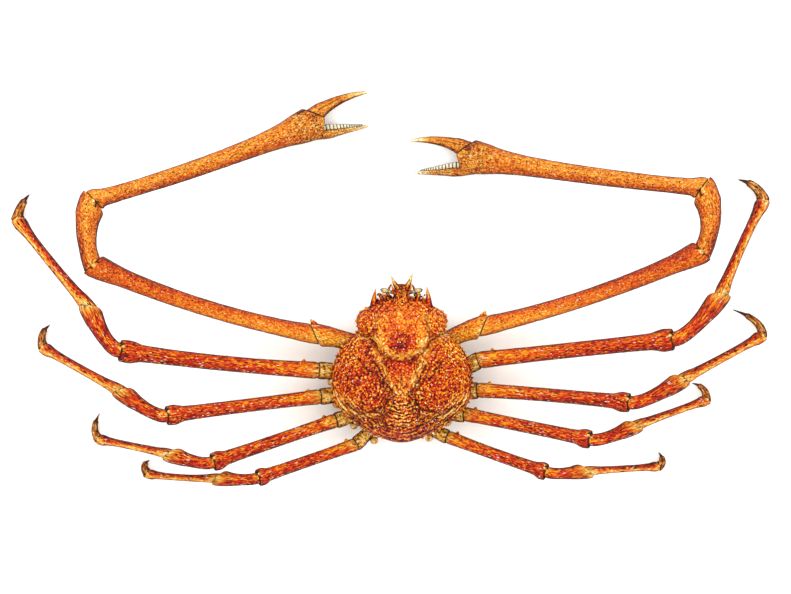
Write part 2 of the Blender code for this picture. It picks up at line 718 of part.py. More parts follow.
def rostrum(material):
    """The prow between the eyes, with upright sides for their stalks."""
    low, high = ROSTRUM_LOW_Z, ROSTRUM_TOP_Z
    rows = (
        (ROSTRUM_START_Y, 0.026, low, high + 0.006),
        (0.186, ROSTRUM_HALF_WIDTH, low, high),
        (0.209, ROSTRUM_HALF_WIDTH, low + 0.002, high - 0.004),
        (ROSTRUM_END_Y, 0.0115, low + 0.006, high - 0.007),
    )
    rings = []
    for y, half, bottom, top in rows:
        lower = bottom + (top - bottom) * 0.20
        upper = bottom + (top - bottom) * 0.68
        section = (
            (-half, lower), (-half * 0.7, bottom), (half * 0.7, bottom), (half, lower),
            (half, upper), (half * 0.5, top), (-half * 0.5, top), (-half, upper),
        )
        rings.append([(x, y, z) for x, z in section])
    return loft_object("rostrum", rings, material)


def front_block(material):
    """The block of the mouth frame under the rostrum."""
    (x0, y0, z0), (x1, y1, z1) = FRONT_BLOCK
    corners = ((x0, z0), (x1, z0), (x1, z1), (x0, z1))
    rings = [[(x, y, z) for x, z in corners] for y in (y0, y1)]
    return loft_object("front_block", rings, material)


def make_carapace(materials):
    """The back shell with its rostrum and spines."""
    shell = materials["carapace_shell"]
    rings, top = carapace_rings()
    carapace = loft_object("carapace", rings, shell, top)
    pieces = [rostrum(shell), front_block(shell)]
    for k, (root, tip, radius) in enumerate(FRONT_SPINES):
        pieces.append(spine(f"front_spine_{k}", root, tip, radius, shell))
    fuse(carapace, pieces + tubercles(shell) + edge_spines(shell))


def hip_ends(place, heading, half):
    """Both ends of a hip facet, rear end first."""
    along = np.array([-math.sin(math.radians(heading)), math.cos(math.radians(heading))])
    return [np.array(place) - along * half, np.array(place) + along * half]


def thorax_outline():
    """The thorax in plan, from the rear round the right side."""
    right = [np.array(THORAX_REAR)]
    for name in ("leg_4", "leg_3", "leg_2", "leg_1", "cheliped"):
        right += hip_ends(*HIPS[name])
    right += [np.array(point) for point in THORAX_FRONT]
    return right + [np.array([-x, y]) for x, y in right[::-1]]


def make_thorax(materials):
    """The body under the carapace, with a facet for each limb and a slope for the mouth."""
    outline = thorax_outline()
    belly = []
    for x, y in outline:
        scale_y = THORAX_BELLY_SCALE if y > 0 else THORAX_BELLY_REAR_SCALE
        belly.append((x * THORAX_BELLY_SCALE, y * scale_y, BELLY_Z))
    rings = [belly] + [[(x, y, z) for x, y in outline] for z in (THORAX_WALL_LOW_Z, THORAX_TOP_Z)]
    bm = bmesh.new()
    add_loft(bm, rings)
    rise = MOUTH_SLOPE_END[1] - MOUTH_SLOPE_START[1]
    run = MOUTH_SLOPE_END[0] - MOUTH_SLOPE_START[0]
    bmesh.ops.recalc_face_normals(bm, faces=bm.faces[:])
    cut = bmesh.ops.bisect_plane(
        bm,
        geom=bm.verts[:] + bm.edges[:] + bm.faces[:],
        plane_co=(0.0, *MOUTH_SLOPE_START),
        plane_no=(0.0, rise, -run),
        clear_outer=True,
    )
    edges = [item for item in cut["geom_cut"] if isinstance(item, bmesh.types.BMEdge)]
    bmesh.ops.contextual_create(bm, geom=edges)
    new_object("thorax", bm, materials["underside_shell"])


def abdomen_ring(y, z, lean, half_width):
    """A flat-sided section of the abdomen, leaning by an angle from upright."""
    half = ABDOMEN_THICKNESS / 2
    across = (-1.0, -0.92, 0.92, 1.0, 0.92, -0.92)
    through = (0.0, -1.0, -1.0, 0.0, 1.0, 1.0)
    dy, dz = math.sin(lean), math.cos(lean)
    return [(a * half_width, y + t * half * dy, z + t * half * dz) for a, t in zip(across, through)]


def make_abdomen(materials):
    """The narrow folded tail, flat on the floor and turned up behind."""
    low_z = ABDOMEN_THICKNESS / 2
    rings = [abdomen_ring(y, low_z, 0.0, half) for y, half in ABDOMEN_PATH]
    leans = (math.radians(40), math.radians(75))
    for (y, z, half), lean in zip(ABDOMEN_BEND, leans):
        rings.append(abdomen_ring(y, z, lean, half))
    rings.append(abdomen_ring(ABDOMEN_REAR_Y, 0.034, math.pi / 2, 0.0300))
    rings.append(abdomen_ring(ABDOMEN_REAR_Y, ABDOMEN_TOP_Z, math.pi / 2, 0.0280))
    loft_object("abdomen", rings, materials["underside_shell"])


def make_mouthparts(materials):
    """The pair of plates that close the mouth, lying on the thorax's slope."""
    start = np.array([0.0, *MOUTH_SLOPE_START])
    uphill = unit(np.array([0.0, MOUTH_SLOPE_END[0], MOUTH_SLOPE_END[1]]) - start)
    outward = np.array([0.0, uphill[2], -uphill[1]])
    for side, sign in (("left", -1), ("right", 1)):
        rings = []
        for along, half, thick in MOUTHPART_ROWS:
            centre = start + uphill * along + outward * GAP + np.array([sign * MOUTHPART_OFFSET_X, 0, 0])
            ring = []
            for k in range(7):
                angle = math.pi * k / 6
                across = np.array([half * math.cos(angle), 0, 0])
                ring.append(centre + across + outward * thick * math.sin(angle))
            rings.append(ring)
        loft_object(f"maxilliped_{side}", rings, materials["underside_shell"])


def make_eyes(materials):
    """Stalked eyes against the rostrum's upright sides."""
    for side, sign in (("left", -1), ("right", 1)):
        root = np.array([sign * (ROSTRUM_HALF_WIDTH + GAP), EYE_Y, EYE_Z])
        end = root + np.array([sign * EYE_LENGTH, EYE_FORWARD, 0.0])
        bend = Bend(root, end)
        stalk, bulb = EYE_STALK_RADIUS, EYE_BULB_RADIUS
        form = (
            (0.00, stalk, stalk), (0.30, stalk * 0.94, stalk * 0.94), (0.48, bulb * 0.90, bulb * 0.90),
            (0.66, bulb, bulb), (0.84, bulb * 0.86, bulb * 0.86), (0.95, bulb * 0.52, bulb * 0.52),
        )
        plane = np.array([sign * 1.0, 0.0, 0.0])
        rings = piece_rings(bend, form, 10, plane, None, 0.0)
        loft_object(f"eye_{side}", rings, materials["eye"], end)


def make_feelers(materials):
    """Short jointed feelers under the eyes."""
    for side, sign in (("left", -1), ("right", 1)):
        flip = np.array([sign, 1.0, 1.0])
        places = [np.array(point) * flip for point in (FEELER_ROOT, *FEELER_PATH)]
        places[0] = places[0] + np.array([0.0, GAP, 0.0])
        rings = []
        for k, radius in enumerate(FEELER_RADII):
            ahead = places[min(k + 1, len(places) - 1)] - places[max(k - 1, 0)]
            tangent = np.array([0.0, 1.0, 0.0]) if k == 0 else unit(ahead)
            rings.append(ring_at(places[k], tangent, radius, radius, 8))
        loft_object(f"antenna_{side}", rings, materials["feeler"])


def hip(name, side):
    """Centre and outward normal of a limb's facet on the thorax."""
    (x, y), heading, _ = HIPS[name]
    sign = -1 if side == "left" else 1
    normal = np.array([sign * math.cos(math.radians(heading)), math.sin(math.radians(heading)), 0.0])
    return np.array([sign * x, y, HIP_Z]), normal


def coxa_bend(root, normal, end, forward=0.0):
    """The path of the first piece of a limb, straight out of its facet or bowed to the head."""
    handle = root + normal * 0.45 * np.linalg.norm(end - root) + np.array([0.0, forward, 0.0])
    return Bend(root, end, handle=handle)


def half_width_at(form, place):
    """A form's half width at a fraction of its length."""
    return float(np.interp(place, [row[0] for row in form], [row[1] for row in form]))


def knob(centre, radius, material):
    """A round knob."""
    bm = bmesh.new()
    bmesh.ops.create_icosphere(bm, subdivisions=2, radius=radius, matrix=Matrix.Translation(centre))
    return new_object("knob", bm, material)


def leg_extras(part, leg, bend, form, rear, material):
    """The small solid forms joined to a leg's piece, where rear is 1 on the left and -1 on the right."""
    def beside(place, offset, drop=0.0):
        side = rear * unit(np.cross((0.0, 0.0, 1.0), bend.tangent(place)))
        return bend.point(place) + side * offset - np.array([0.0, 0.0, drop]), side

    if part == "coxa":
        centre, _ = beside(*KNOBS[leg], 0.003)
        return [knob(centre, KNOB_RADIUS, material)]
    if part == "merus":
        foot, side = beside(MERUS_BUMP_PLACE, -half_width_at(form, MERUS_BUMP_PLACE))
        return [tubercle(foot, -side, MERUS_BUMP_HEIGHT, MERUS_BUMP_RADIUS, material)]
    return []


def make_leg(name, side, materials):
    """One walking leg, as five pieces from the hip to the toe."""
    joints = [np.array(point) for point in LEG_JOINTS[name, side]]
    ischium, knee, wrist, ankle, toe_bend, toe = joints
    outer = 1 if side == "left" else -1
    merus_bow, propodus_bow = (outer * bow for bow in LEG_BOWS[name, side])
    root, normal = hip(name, side)
    merus = Bend(ischium, knee, merus_bow)
    knee_normal = merus.tangent(1.0)
    knee_bend = knee + knee_normal * KNEE_BEND_PLACE * np.linalg.norm(wrist - knee)
    bends = {
        "coxa": coxa_bend(root, normal, ischium),
        "merus": merus,
        "carpus": Bend(knee, wrist, handle=knee_bend),
        "propodus": Bend(wrist, ankle, propodus_bow),
        "dactyl": Bend(ankle, toe, handle=toe_bend),
    }
    wrist_normal = joint_normal(bends["carpus"], bends["propodus"])
    planes = {
        "coxa": joint_normal(bends["coxa"], merus),
        "merus": knee_normal,
        "carpus": turned(wrist_normal, -outer * LEG_WRIST_TURNS[name, side]),
        "propodus": joint_normal(bends["propodus"], bends["dactyl"]),
        "dactyl": None,
    }
    finishes = dict.fromkeys(bends, "limb_shell") | {"coxa": "joint_shell", "dactyl": "toe_shell"}
    start_plane, start_gap = normal, GAP
    for part, end_plane in planes.items():
        form = scaled(LEG_FORMS[part], LEG_WIDTHS[name][part])
        sides = TOE_SIDES if part == "dactyl" else LEG_SIDES
        rings = piece_rings(bends[part], form, sides, start_plane, end_plane, start_gap)
        piece = loft_object(f"{name}_{side}_{part}", resting(rings), materials[finishes[part]])
        extras = leg_extras(part, (name, side), bends[part], form, outer, materials[finishes[part]])
        if extras:
            fuse(piece, extras)
        start_plane, start_gap = end_plane, GAP / 2


class Hand:
    """The frame of a claw: origin at the root of its fingers, along the palm, and across it."""

    def __init__(self, palm, origin, side):
        self.origin = origin
        self.along = palm.tangent(1.0)
        turn = 1 if side == "left" else -1
        self.across = turn * unit(np.cross((0.0, 0.0, 1.0), self.along))
        self.normal = self.leaning(FINGER_CUT_DEGREES)
        self.web_normal = self.leaning(-WEB_CUT_DEGREES)

    def leaning(self, degrees):
        """The direction along the hand, turned towards the movable finger."""
        angle = math.radians(degrees)
        return math.cos(angle) * self.along + math.sin(angle) * self.across

    def place(self, along, across):
        """The point at these distances from the origin."""
        return self.origin + self.along * along + self.across * across


def cut_off(obj, place, normal):
    """Cut away what lies past a plane and close the cut."""
    bm = bmesh.new()
    bm.from_mesh(obj.data)
    cut = bmesh.ops.bisect_plane(
        bm, geom=bm.verts[:] + bm.edges[:] + bm.faces[:], plane_co=place, plane_no=normal, clear_outer=True
    )
    edges = [item for item in cut["geom_cut"] if isinstance(item, bmesh.types.BMEdge)]
    bmesh.ops.contextual_create(bm, geom=edges)
    bmesh.ops.triangulate(bm, faces=bm.faces[:])
    bm.to_mesh(obj.data)
    bm.free()


def finger_teeth(finger, form, teeth, towards, material):
    """A row of blunt teeth along a finger that shrink towards its tip."""
    count, first, last, radii, heights = teeth
    made = []
    for k in range(count):
        share = k / (count - 1)
        place = first + (last - first) * share
        radius = radii[0] + (radii[1] - radii[0]) * share
        height = heights[0] + (heights[1] - heights[0]) * share
        foot = finger.point(place) + towards * (half_width_at(form, place) - 0.0008)
        made.append(tooth(foot, towards, height, radius, material))
    return made


def tooth(foot, direction, height, radius, material):
    """A blunt, flat-topped tooth."""
    bend = Bend(foot - direction * radius * 0.7, foot + direction * height)
    form = ((0.0, radius, radius), (0.6, radius * 0.9, radius * 0.9), (1.0, radius * 0.55, radius * 0.55))
    return loft_object("tooth", piece_rings(bend, form, TOOTH_SIDES, None, None), material)


def make_cheliped(side, materials):
    """One clawed limb, as five pieces from the hip to the movable finger."""
    joints = [np.array(point) for point in CHELIPED_JOINTS[side]]
    ischium, elbow, wrist, hand_end, movable_tip, fixed_tip = joints
    bows = CHELIPED_BOWS[side]
    turn = 1 if side == "left" else -1
    root, normal = hip("cheliped", side)
    coxa = coxa_bend(root, normal, ischium, bows["coxa"])
    merus = Bend(ischium, elbow, bows["merus"])
    carpus = Bend(elbow, wrist, bows["carpus"])
    palm = Bend(wrist, hand_end, bows["palm"])
    hand = Hand(palm, hand_end, side)
    ischium_plane = turned(level(merus.tangent(0.0)), turn * ISCHIUM_CUT_DEGREES)
    planes = (normal, ischium_plane, joint_normal(merus, carpus), joint_normal(carpus, palm), None)
    bends = {"coxa": coxa, "merus": merus, "carpus": carpus, "palm": palm}
    finishes = {"coxa": "joint_shell", "merus": "claw_shell", "carpus": "claw_shell", "palm": "claw_shell"}
    made = {}
    for k, (part, bend) in enumerate(bends.items()):
        start_gap = GAP if part == "coxa" else GAP / 2
        rings = piece_rings(bend, CHELIPED_FORMS[part], CHELIPED_SIDES, planes[k], planes[k + 1], start_gap)
        node = f"cheliped_{side}_" + ("propodus" if part == "palm" else part)
        made[part] = loft_object(node, resting(rings), materials[finishes[part]])
    cut_off(made["palm"], hand_end - hand.normal * GAP / 2, hand.normal)
    cut_off(made["palm"], hand_end, hand.web_normal)
    fixed = Bend(hand.place(-FIXED_ROOT_BACK, FIXED_ROOT_ACROSS[side]), fixed_tip)
    fixed_rings = piece_rings(fixed, FIXED_FORM, 12, None, None)
    shell = materials["claw_shell"]
    fixed_finger = loft_object("fixed_finger", resting(fixed_rings), shell)
    fuse(made["palm"], [fixed_finger] + finger_teeth(fixed, FIXED_FORM, FIXED_TEETH, hand.across, shell))
    ahead = coxa.tangent(1.0)
    front = -turn * unit(np.cross((0.0, 0.0, 1.0), ahead))
    foot = ischium + front * ISCHIUM_CORNER_OFFSET + ahead * 0.003
    outward = unit(front + ahead * 0.9)
    finish = materials["joint_shell"]
    corner = tubercle(foot, outward, ISCHIUM_CORNER_HEIGHT, ISCHIUM_CORNER_RADIUS, finish)
    fuse(made["coxa"], [corner])
    slant = math.tan(math.radians(FINGER_CUT_DEGREES))
    movable_root = hand.place(-MOVABLE_ROOT_ACROSS * slant, MOVABLE_ROOT_ACROSS)
    movable = Bend(movable_root, movable_tip, turn * MOVABLE_BOW)
    movable_rings = piece_rings(movable, MOVABLE_FORM, 12, hand.normal, None)
    loft_object(f"cheliped_{side}_dactyl", resting(movable_rings), shell)


def main():
    """Build every piece."""
    clear_scene()
    materials = make_materials()
    make_carapace(materials)
    make_thorax(materials)
    make_abdomen(materials)
    make_mouthparts(materials)
    make_eyes(materials)
    make_feelers(materials)
    for name, side in LEG_JOINTS:
        make_leg(name, side, materials)
    for side in CHELIPED_JOINTS:
        make_cheliped(side, materials)


main()
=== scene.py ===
# Japanese spider crab, adult male, seen from above: fine pieces and finishes over the plain solids
import math
import random

import bmesh
import bpy
import numpy as np
from mathutils import Matrix, Vector, noise


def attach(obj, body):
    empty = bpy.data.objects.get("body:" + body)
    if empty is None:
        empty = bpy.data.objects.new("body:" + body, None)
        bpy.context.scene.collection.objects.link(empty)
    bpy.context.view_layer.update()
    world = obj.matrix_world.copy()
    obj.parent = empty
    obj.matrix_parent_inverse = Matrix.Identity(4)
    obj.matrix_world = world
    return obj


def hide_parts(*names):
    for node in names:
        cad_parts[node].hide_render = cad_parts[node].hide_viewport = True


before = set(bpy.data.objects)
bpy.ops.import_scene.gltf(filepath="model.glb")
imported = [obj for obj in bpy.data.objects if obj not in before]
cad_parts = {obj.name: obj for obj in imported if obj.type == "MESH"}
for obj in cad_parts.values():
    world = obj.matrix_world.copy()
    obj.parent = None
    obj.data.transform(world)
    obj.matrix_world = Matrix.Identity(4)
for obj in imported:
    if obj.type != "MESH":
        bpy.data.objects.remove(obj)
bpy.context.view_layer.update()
print("frame loaded:", len(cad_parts), "solids")

# Small helpers, metres throughout

gap = 0.0003  # clear space between two pieces that meet
upward = np.array([0.0, 0.0, 1.0])


def unit(vectors):
    vectors = np.asarray(vectors, float)
    return vectors / np.maximum(np.linalg.norm(vectors, axis=-1, keepdims=True), 1e-12)


def smoothStep(value):
    value = np.clip(value, 0.0, 1.0)
    return value * value * (3 - 2 * value)


def smoothCurve(rows, places):
    # the columns after the first, drawn smoothly through their values and never past them
    rows = np.array(rows, float)
    at, values = rows[:, 0], rows[:, 1:]
    slopes = np.diff(values, axis=0) / np.diff(at)[:, None]
    before, after = slopes[:-1], slopes[1:]
    same = before * after > 0
    middle = np.where(same, 2 * before * after / np.where(same, before + after, 1.0), 0.0)
    tilts = np.vstack([slopes[:1], middle, slopes[-1:]])
    cell = np.clip(np.searchsorted(at, places, side="right") - 1, 0, len(at) - 2)
    width = (at[cell + 1] - at[cell])[:, None]
    t = ((places - at[cell])[:, None] / width).clip(0, 1)
    return ((1 + 2 * t) * (1 - t) ** 2 * values[cell] + t * (1 - t) ** 2 * width * tilts[cell]
            + t * t * (3 - 2 * t) * values[cell + 1] + t * t * (t - 1) * width * tilts[cell + 1])


def bendOf(start, end, bow=0.0, handle=None):
    # a shallow arc whose middle stands off sideways by bow, kept as start, handle and end
    start, end = np.array(start, float), np.array(end, float)
    side = unit(np.cross(upward, end - start))
    return start, (start + end) / 2 + side * 2 * bow if handle is None else np.array(handle, float), end


def bendPoint(bend, share):
    share = np.asarray(share, float)[..., None]
    return (1 - share) ** 2 * bend[0] + 2 * share * (1 - share) * bend[1] + share ** 2 * bend[2]


def bendTangent(bend, share):
    share = np.asarray(share, float)[..., None]
    return unit((1 - share) * (bend[1] - bend[0]) + share * (bend[2] - bend[1]))


def nearestShare(bend, points):
    # the share of the bend's length that is nearest to each point
    grid = np.linspace(0, 1, 160)
    line = bendPoint(bend, grid)
    return grid[[np.argmin(((line - point) ** 2).sum(axis=1)) for point in points]]


def bumpField(points, size, seed=0.0):
    # soft random relief between -1 and 1, with lumps about as large as size
    return np.array([noise.noise(Vector(point) / size + Vector((seed, 0.0, 0.0))) for point in points])


# Finishes. Patterns are drawn about twice as coarse as on the real shell, so that they show from afar.

def tint(hexCode):
    # an sRGB hex value as linear colour
    parts = [int(hexCode[k:k + 2], 16) / 255 for k in (0, 2, 4)]
    return [part / 12.92 if part <= 0.04045 else ((part + 0.055) / 1.055) ** 2.4 for part in parts] + [1.0]


def addNode(tree, kind, inputs=None, stops=None, **settings):
    # one node with its settings, its ramp colours and its links or values
    node = tree.nodes.new("ShaderNode" + kind)
    for key, value in settings.items():
        setattr(node, key, value)
    for key, value in (inputs or {}).items():
        if isinstance(value, bpy.types.NodeSocket):
            tree.links.new(value, node.inputs[key])
        else:
            node.inputs[key].default_value = value
    for k, (place, code) in enumerate(stops or ()):
        element = node.color_ramp.elements[k] if k < 2 else node.color_ramp.elements.new(place)
        element.position = place
        element.color = tint(code)
    return node


def newFinish(name, roughness, coat=0.0, coatRoughness=0.1, specular=0.5):
    material = bpy.data.materials.new(name)
    material.use_nodes = True
    shader = material.node_tree.nodes["Principled BSDF"]
    shader.inputs["Roughness"].default_value = roughness
    shader.inputs["Coat Weight"].default_value = coat
    shader.inputs["Coat Roughness"].default_value = coatRoughness
    shader.inputs["Specular IOR Level"].default_value = specular
    return material, material.node_tree, shader


def reckon(tree, operation, *values):
    # a math node's result
    return addNode(tree, "Math", dict(enumerate(values)), operation=operation).outputs[0]


def drift(tree, place, size, detail=2.0, roughness=0.5):
    # soft noise with lumps about as large as size
    return addNode(tree, "TexNoise", {"Vector": place, "Scale": 1 / size, "Detail": detail,
                                      "Roughness": roughness}).outputs["Fac"]


def blend(tree, share, first, second):
    return addNode(tree, "Mix", {0: share, 6: first, 7: second}, data_type="RGBA").outputs[2]


def ranged(tree, value, fromMin, fromMax, toMin=0.0, toMax=1.0):
    return addNode(tree, "MapRange", {"Value": value, "From Min": fromMin, "From Max": fromMax,
                                      "To Min": toMin,
                                      "To Max": toMax}).outputs[0]


def painted(tree, key):
    return addNode(tree, "Attribute", attribute_name=key).outputs["Fac"]


def coordinates(tree):
    return addNode(tree, "TexCoord").outputs["Object"]


def setSurface(tree, shader, colour, bumps, gloss):
    # the colour, bumps (height, strength and depth) and a roughness that varies
    tree.links.new(colour, shader.inputs["Base Color"])
    bump = addNode(tree, "Bump", dict(zip(("Height", "Strength", "Distance"), bumps)))
    tree.links.new(bump.outputs[0], shader.inputs["Normal"])
    tree.links.new(gloss, shader.inputs["Roughness"])


# colours of the shell by tone, from its darkest to its palest
shellTones = {
    "red": ((0.0, "060100"), (0.15, "250300"), (0.27, "6C0800"), (0.39, "9E1200"), (0.50, "B32C00"),
            (0.60, "BF5700"), (0.71, "C78104"), (0.83, "D1A30B"), (0.94, "D6B940"), (1.0, "DDD6C3")),
    "ivory": ((0.0, "0A0402"), (0.18, "2C1004"), (0.33, "7A3208"), (0.47, "B06814"), (0.60, "C48A24"),
              (0.74, "CEA450"), (0.88, "D6BE84"), (1.0, "E0DACC")),
    "horn": ((0.0, "050202"), (0.20, "120603"), (0.40, "4A1804"), (0.55, "8E3A08"), (0.68, "B46A14"),
             (0.82, "C48A34"), (1.0, "D0B478")),
    "glint": ((0.46, "E4A81E"), (0.54, "D0C4C4")),
    "pit": "160302",
    "edge": "160503",
}

# what is painted on every point: tone, dark seams and painted shade on edges, ivory joints, share of white
# glints as painted highlights and of pits, and how much calmer the flecks are
paintKeys = ("tone", "dark", "pale", "shine", "pits", "calm")

# How strongly cells, streaks, fine grain, broad patches and painted pebble shading change the tone, and the
# reach of each in metres
shellLook = {"cell": 0.0030, "stretch": 3.2, "cells": 0.70, "streaks": 2.3, "fine": 0.9, "patches": 0.4,
             "pebbles": 0.0,
             "streak": 0.0026, "grain": 0.0026, "patch": 0.011, "dot": 0.0052, "dotSize": 0.34,
             "varnish": 0.04, "relief": 0.9}


# Crab shell: calcified chitin, grown rough with grains and pits, then thinly varnished. It gives a
# saturated, restless ground of dark, red, orange and yellow flecks; small white glints are painted in as
# highlights.
def shellFinish(name, tones="red", lined=False, **changes):
    look = {**shellLook, **changes}
    material, tree, shader = newFinish(name, 0.45, look["varnish"], 0.2, 0.10)
    tone, dark, pale, shine, pits, calm = (painted(tree, key) for key in paintKeys)
    place = coordinates(tree)
    skin = addNode(tree, "Attribute", attribute_name="skin").outputs["Vector"]
    drawn, long = (addNode(tree, "Mapping", {0: skin, "Scale": (1, 1, length / look["stretch"])}).outputs[0]
                   for length in (1.0, 0.3))
    cells = addNode(tree, "TexVoronoi", {"Vector": drawn, "Scale": 1 / look["cell"]}).outputs
    dots = addNode(tree, "TexVoronoi", {"Vector": drawn, "Scale": 1 / look["dot"]}).outputs
    chance = addNode(tree, "SeparateColor", {0: cells["Color"]}).outputs
    dotChance = addNode(tree, "SeparateColor", {0: dots["Color"]}).outputs
    streak = drift(tree, long, look["streak"], 2.0, 0.6)
    level, total = 0.0, 0.0
    # pebble shading: each dot cell lighter at its centre and darker at its border, as painted highlight and
    # shade
    for source, weight in ((chance["Red"], look["cells"]), (streak, look["streaks"]),
                           (drift(tree, place, look["grain"], 1.0), look["fine"]),
                           (drift(tree, long, look["patch"]), look["patches"]),
                           (reckon(tree, "SUBTRACT", 1.0, dots["Distance"]), look["pebbles"])):
        level = reckon(tree, "MULTIPLY_ADD", source, weight, level)
        total += weight
    swing = reckon(tree, "SUBTRACT", level, total / 2)
    level = reckon(tree, "MULTIPLY_ADD", swing, reckon(tree, "SUBTRACT", 1.0, calm), tone)
    if lined:
        # growth lines: a painted distance, counted in line gaps, made to waver
        count = reckon(tree, "MULTIPLY_ADD", drift(tree, place, look["waver"]), look["wavering"],
                       painted(tree, "phase"))
        wave = reckon(tree, "SINE", reckon(tree, "MULTIPLY", count, math.tau))
        lift = reckon(tree, "MULTIPLY", wave, look["lineTone"])
        level = reckon(tree, "MULTIPLY_ADD", lift, painted(tree, "lines"), level)
    ground, paleGround = (addNode(tree, "ValToRGB", {0: level}, shellTones[key]).outputs[0]
                          for key in (tones, "ivory"))
    # painted highlights as white glints, some of them yellow flecks instead, and dark pits, one to a cell
    rim = look["dotSize"]
    glint = reckon(tree, "MULTIPLY", ranged(tree, cells["Distance"], 0.50, 0.38),
                   reckon(tree, "LESS_THAN", chance["Green"], shine))
    pit = reckon(tree, "MULTIPLY", ranged(tree, dots["Distance"], rim + 0.06, rim - 0.06),
                 reckon(tree, "LESS_THAN", dotChance["Blue"], pits))
    glintTint = addNode(tree, "ValToRGB", {0: chance["Blue"]}, shellTones["glint"]).outputs[0]
    colour = blend(tree, pale, ground, paleGround)
    colour = blend(tree, glint, colour, glintTint)
    colour = blend(tree, pit, colour, tint(shellTones["pit"]))
    colour = blend(tree, dark, colour, tint(shellTones["edge"]))
    relief = reckon(tree, "SUBTRACT", reckon(tree, "MULTIPLY_ADD", glint, 0.4, level), pit)
    setSurface(tree, shader, colour, (relief, look["relief"], 0.0016),
               ranged(tree, streak, 0.3, 0.7, 0.36, 0.6))
    return material


def shellPaint(look, shares, facing, through, fromStart, fromEnd, half):
    # the paint of a limb's piece: share of its length, side and height from -1 to 1, metres to its ends,
    # half its width in metres
    turn = smoothStep((shares - look["turn"][0]) / (look["turn"][1] - look["turn"][0]))
    steps = np.linspace(-1, 1, len(look["root"]))
    tone = (1 - turn) * np.interp(facing, steps, look["root"]) + turn * np.interp(facing, steps, look["far"])
    # painted shade: darker on the sides, where the form turns away from the light above
    flank = smoothStep((0.56 - through) / 0.4)
    tone = tone - flank * np.where(facing < 0, *look["flanks"])
    below = smoothStep((-0.15 - through) / 0.5)
    tone = tone * (1 - below) + 0.62 * below
    pale = 0.75 * below + look.get("ivory", 0.0) + look.get("farIvory", 0.0) * turn
    pale = pale + look.get("rearIvory", 0.0) * smoothStep((-0.02 - facing) / 0.15)
    dark = 1 - smoothStep((np.minimum(fromStart, fromEnd) - 0.0003) / 0.0012)
    for distance, patches in ((fromStart, look.get("startPatches", ())),
                              (fromEnd, look.get("endPatches", ()))):
        for reach, strength, centre, spread in patches:
            spot = strength * np.exp(-(distance / reach) ** 2 - ((facing - centre) / spread) ** 2)
            pale = np.maximum(pale, spot)
            tone = tone + spot * (0.72 - tone) * 0.8
    for distance, marks in ((fromStart, look.get("startMarks", ())), (fromEnd, look.get("endMarks", ()))):
        for reach, strength, centre, spread in marks:
            mark = strength * smoothStep((reach - distance) / 0.002)
            dark = np.maximum(dark, mark * np.exp(-((facing - centre) / spread) ** 4) * (through > 0))
    # painted shade along the edges seen from above, where the surface turns down: a darker tone and a dark
    # line
    rim = np.sqrt(1 - (1 - np.clip(0.0032 / half, 0.05, 0.55)) ** 2)
    edge = smoothStep((rim - through) / (0.3 * rim)) * smoothStep((through + 0.2) / 0.25)
    tone = tone - 0.20 * look.get("rim", 0.75) * edge
    dark = np.maximum(dark, look.get("outline", 0.24) * edge)
    # share of glints: painted highlights mostly along the top, and specks on the rear edge; each is white or
    # yellow by chance
    shine = look["shine"] * (0.35 + 0.65
                             * np.exp(-((facing - 0.12) / 0.24) ** 2)) * smoothStep((through - 0.3) / 0.3)
    shine = shine + look.get("specks", 0.0) * smoothStep((-0.58 - facing) / 0.1) * (through > 0.1)
    pits = np.broadcast_to(look["pits"], tone.shape)
    calm = np.broadcast_to(look.get("calm", 0.0), tone.shape)
    return {"tone": tone, "dark": dark, "pale": np.clip(pale, 0, 1), "shine": shine, "pits": pits,
            "calm": calm}


# Pieces of the limbs

def tubeRows(length, spacing, tip):
    # rows of a limb's piece: share of the length, scale, sunk into the start, drawn back from the end
    body = np.linspace(0, 1, max(int(length / spacing), 12))
    body = body[(body * length > 0.0025) & ((1 - body) * length > 0.0025)]
    lip = ((0.0, 0.0, 0.004), (0.0, 0.62, 0.004), (0.0, 0.90, 0.0010), (0.0001, 0.945, 0.0),
           (0.0005, 0.975, 0.0),
           (0.0012, 0.993, 0.0), (0.0021, 1.0, 0.0))
    rows = [(d / length, scale, sink, 0.0) for d, scale, sink in lip]
    rows += [(share, 1.0, 0.0, 0.0) for share in body]
    if tip:
        rows += [(1.0, scale, 0.0, -out) for scale, out in ((1.0, 0.0), (0.8, 0.4), (0.45, 0.75), (0.0, 0.85))]
    else:
        rows += [(1 - d / length, scale, 0.0, sink) for d, scale, sink in lip[::-1]]
    return np.array(rows)


def metPlanes(points, centres, sizes, ends):
    # points near an end, slid along it until the end lies on the plane of its joint
    moved = points.copy()
    for plane, distance, direction, setBack in ends:
        if plane is None:
            continue
        lean = float(np.dot(direction, plane))
        slope = math.sqrt(max(1 - lean * lean, 0.0)) / lean
        reach = 1.5 * sizes[:, :2].max(axis=1) * slope + 0.004
        weight = np.maximum(0.0, 1 - distance / reach)
        off = (setBack * weight)[:, None] - (points - centres[:, None]) @ plane
        moved += (weight[:, None] * off / lean)[:, :, None] * direction
    return moved


def cutGrooves(shares, angles, radius, dents):
    # lengthwise grooves (first and last share, angle, width, depth): depth and darkness
    depths, darkness = np.zeros((2, len(shares), len(angles)))
    for first, last, atAngle, width, depth in dents:
        turnAway = np.abs((angles - math.radians(atAngle) + math.pi) % math.tau - math.pi)
        groove = np.exp(-(turnAway[None, :] * radius[:, None] / width) ** 2)
        groove = groove * (smoothStep((shares - first) / 0.05) * smoothStep((last - shares) / 0.05))[:, None]
        depths += depth * groove
        darkness = np.maximum(darkness, 0.85 * groove)
    return depths, darkness


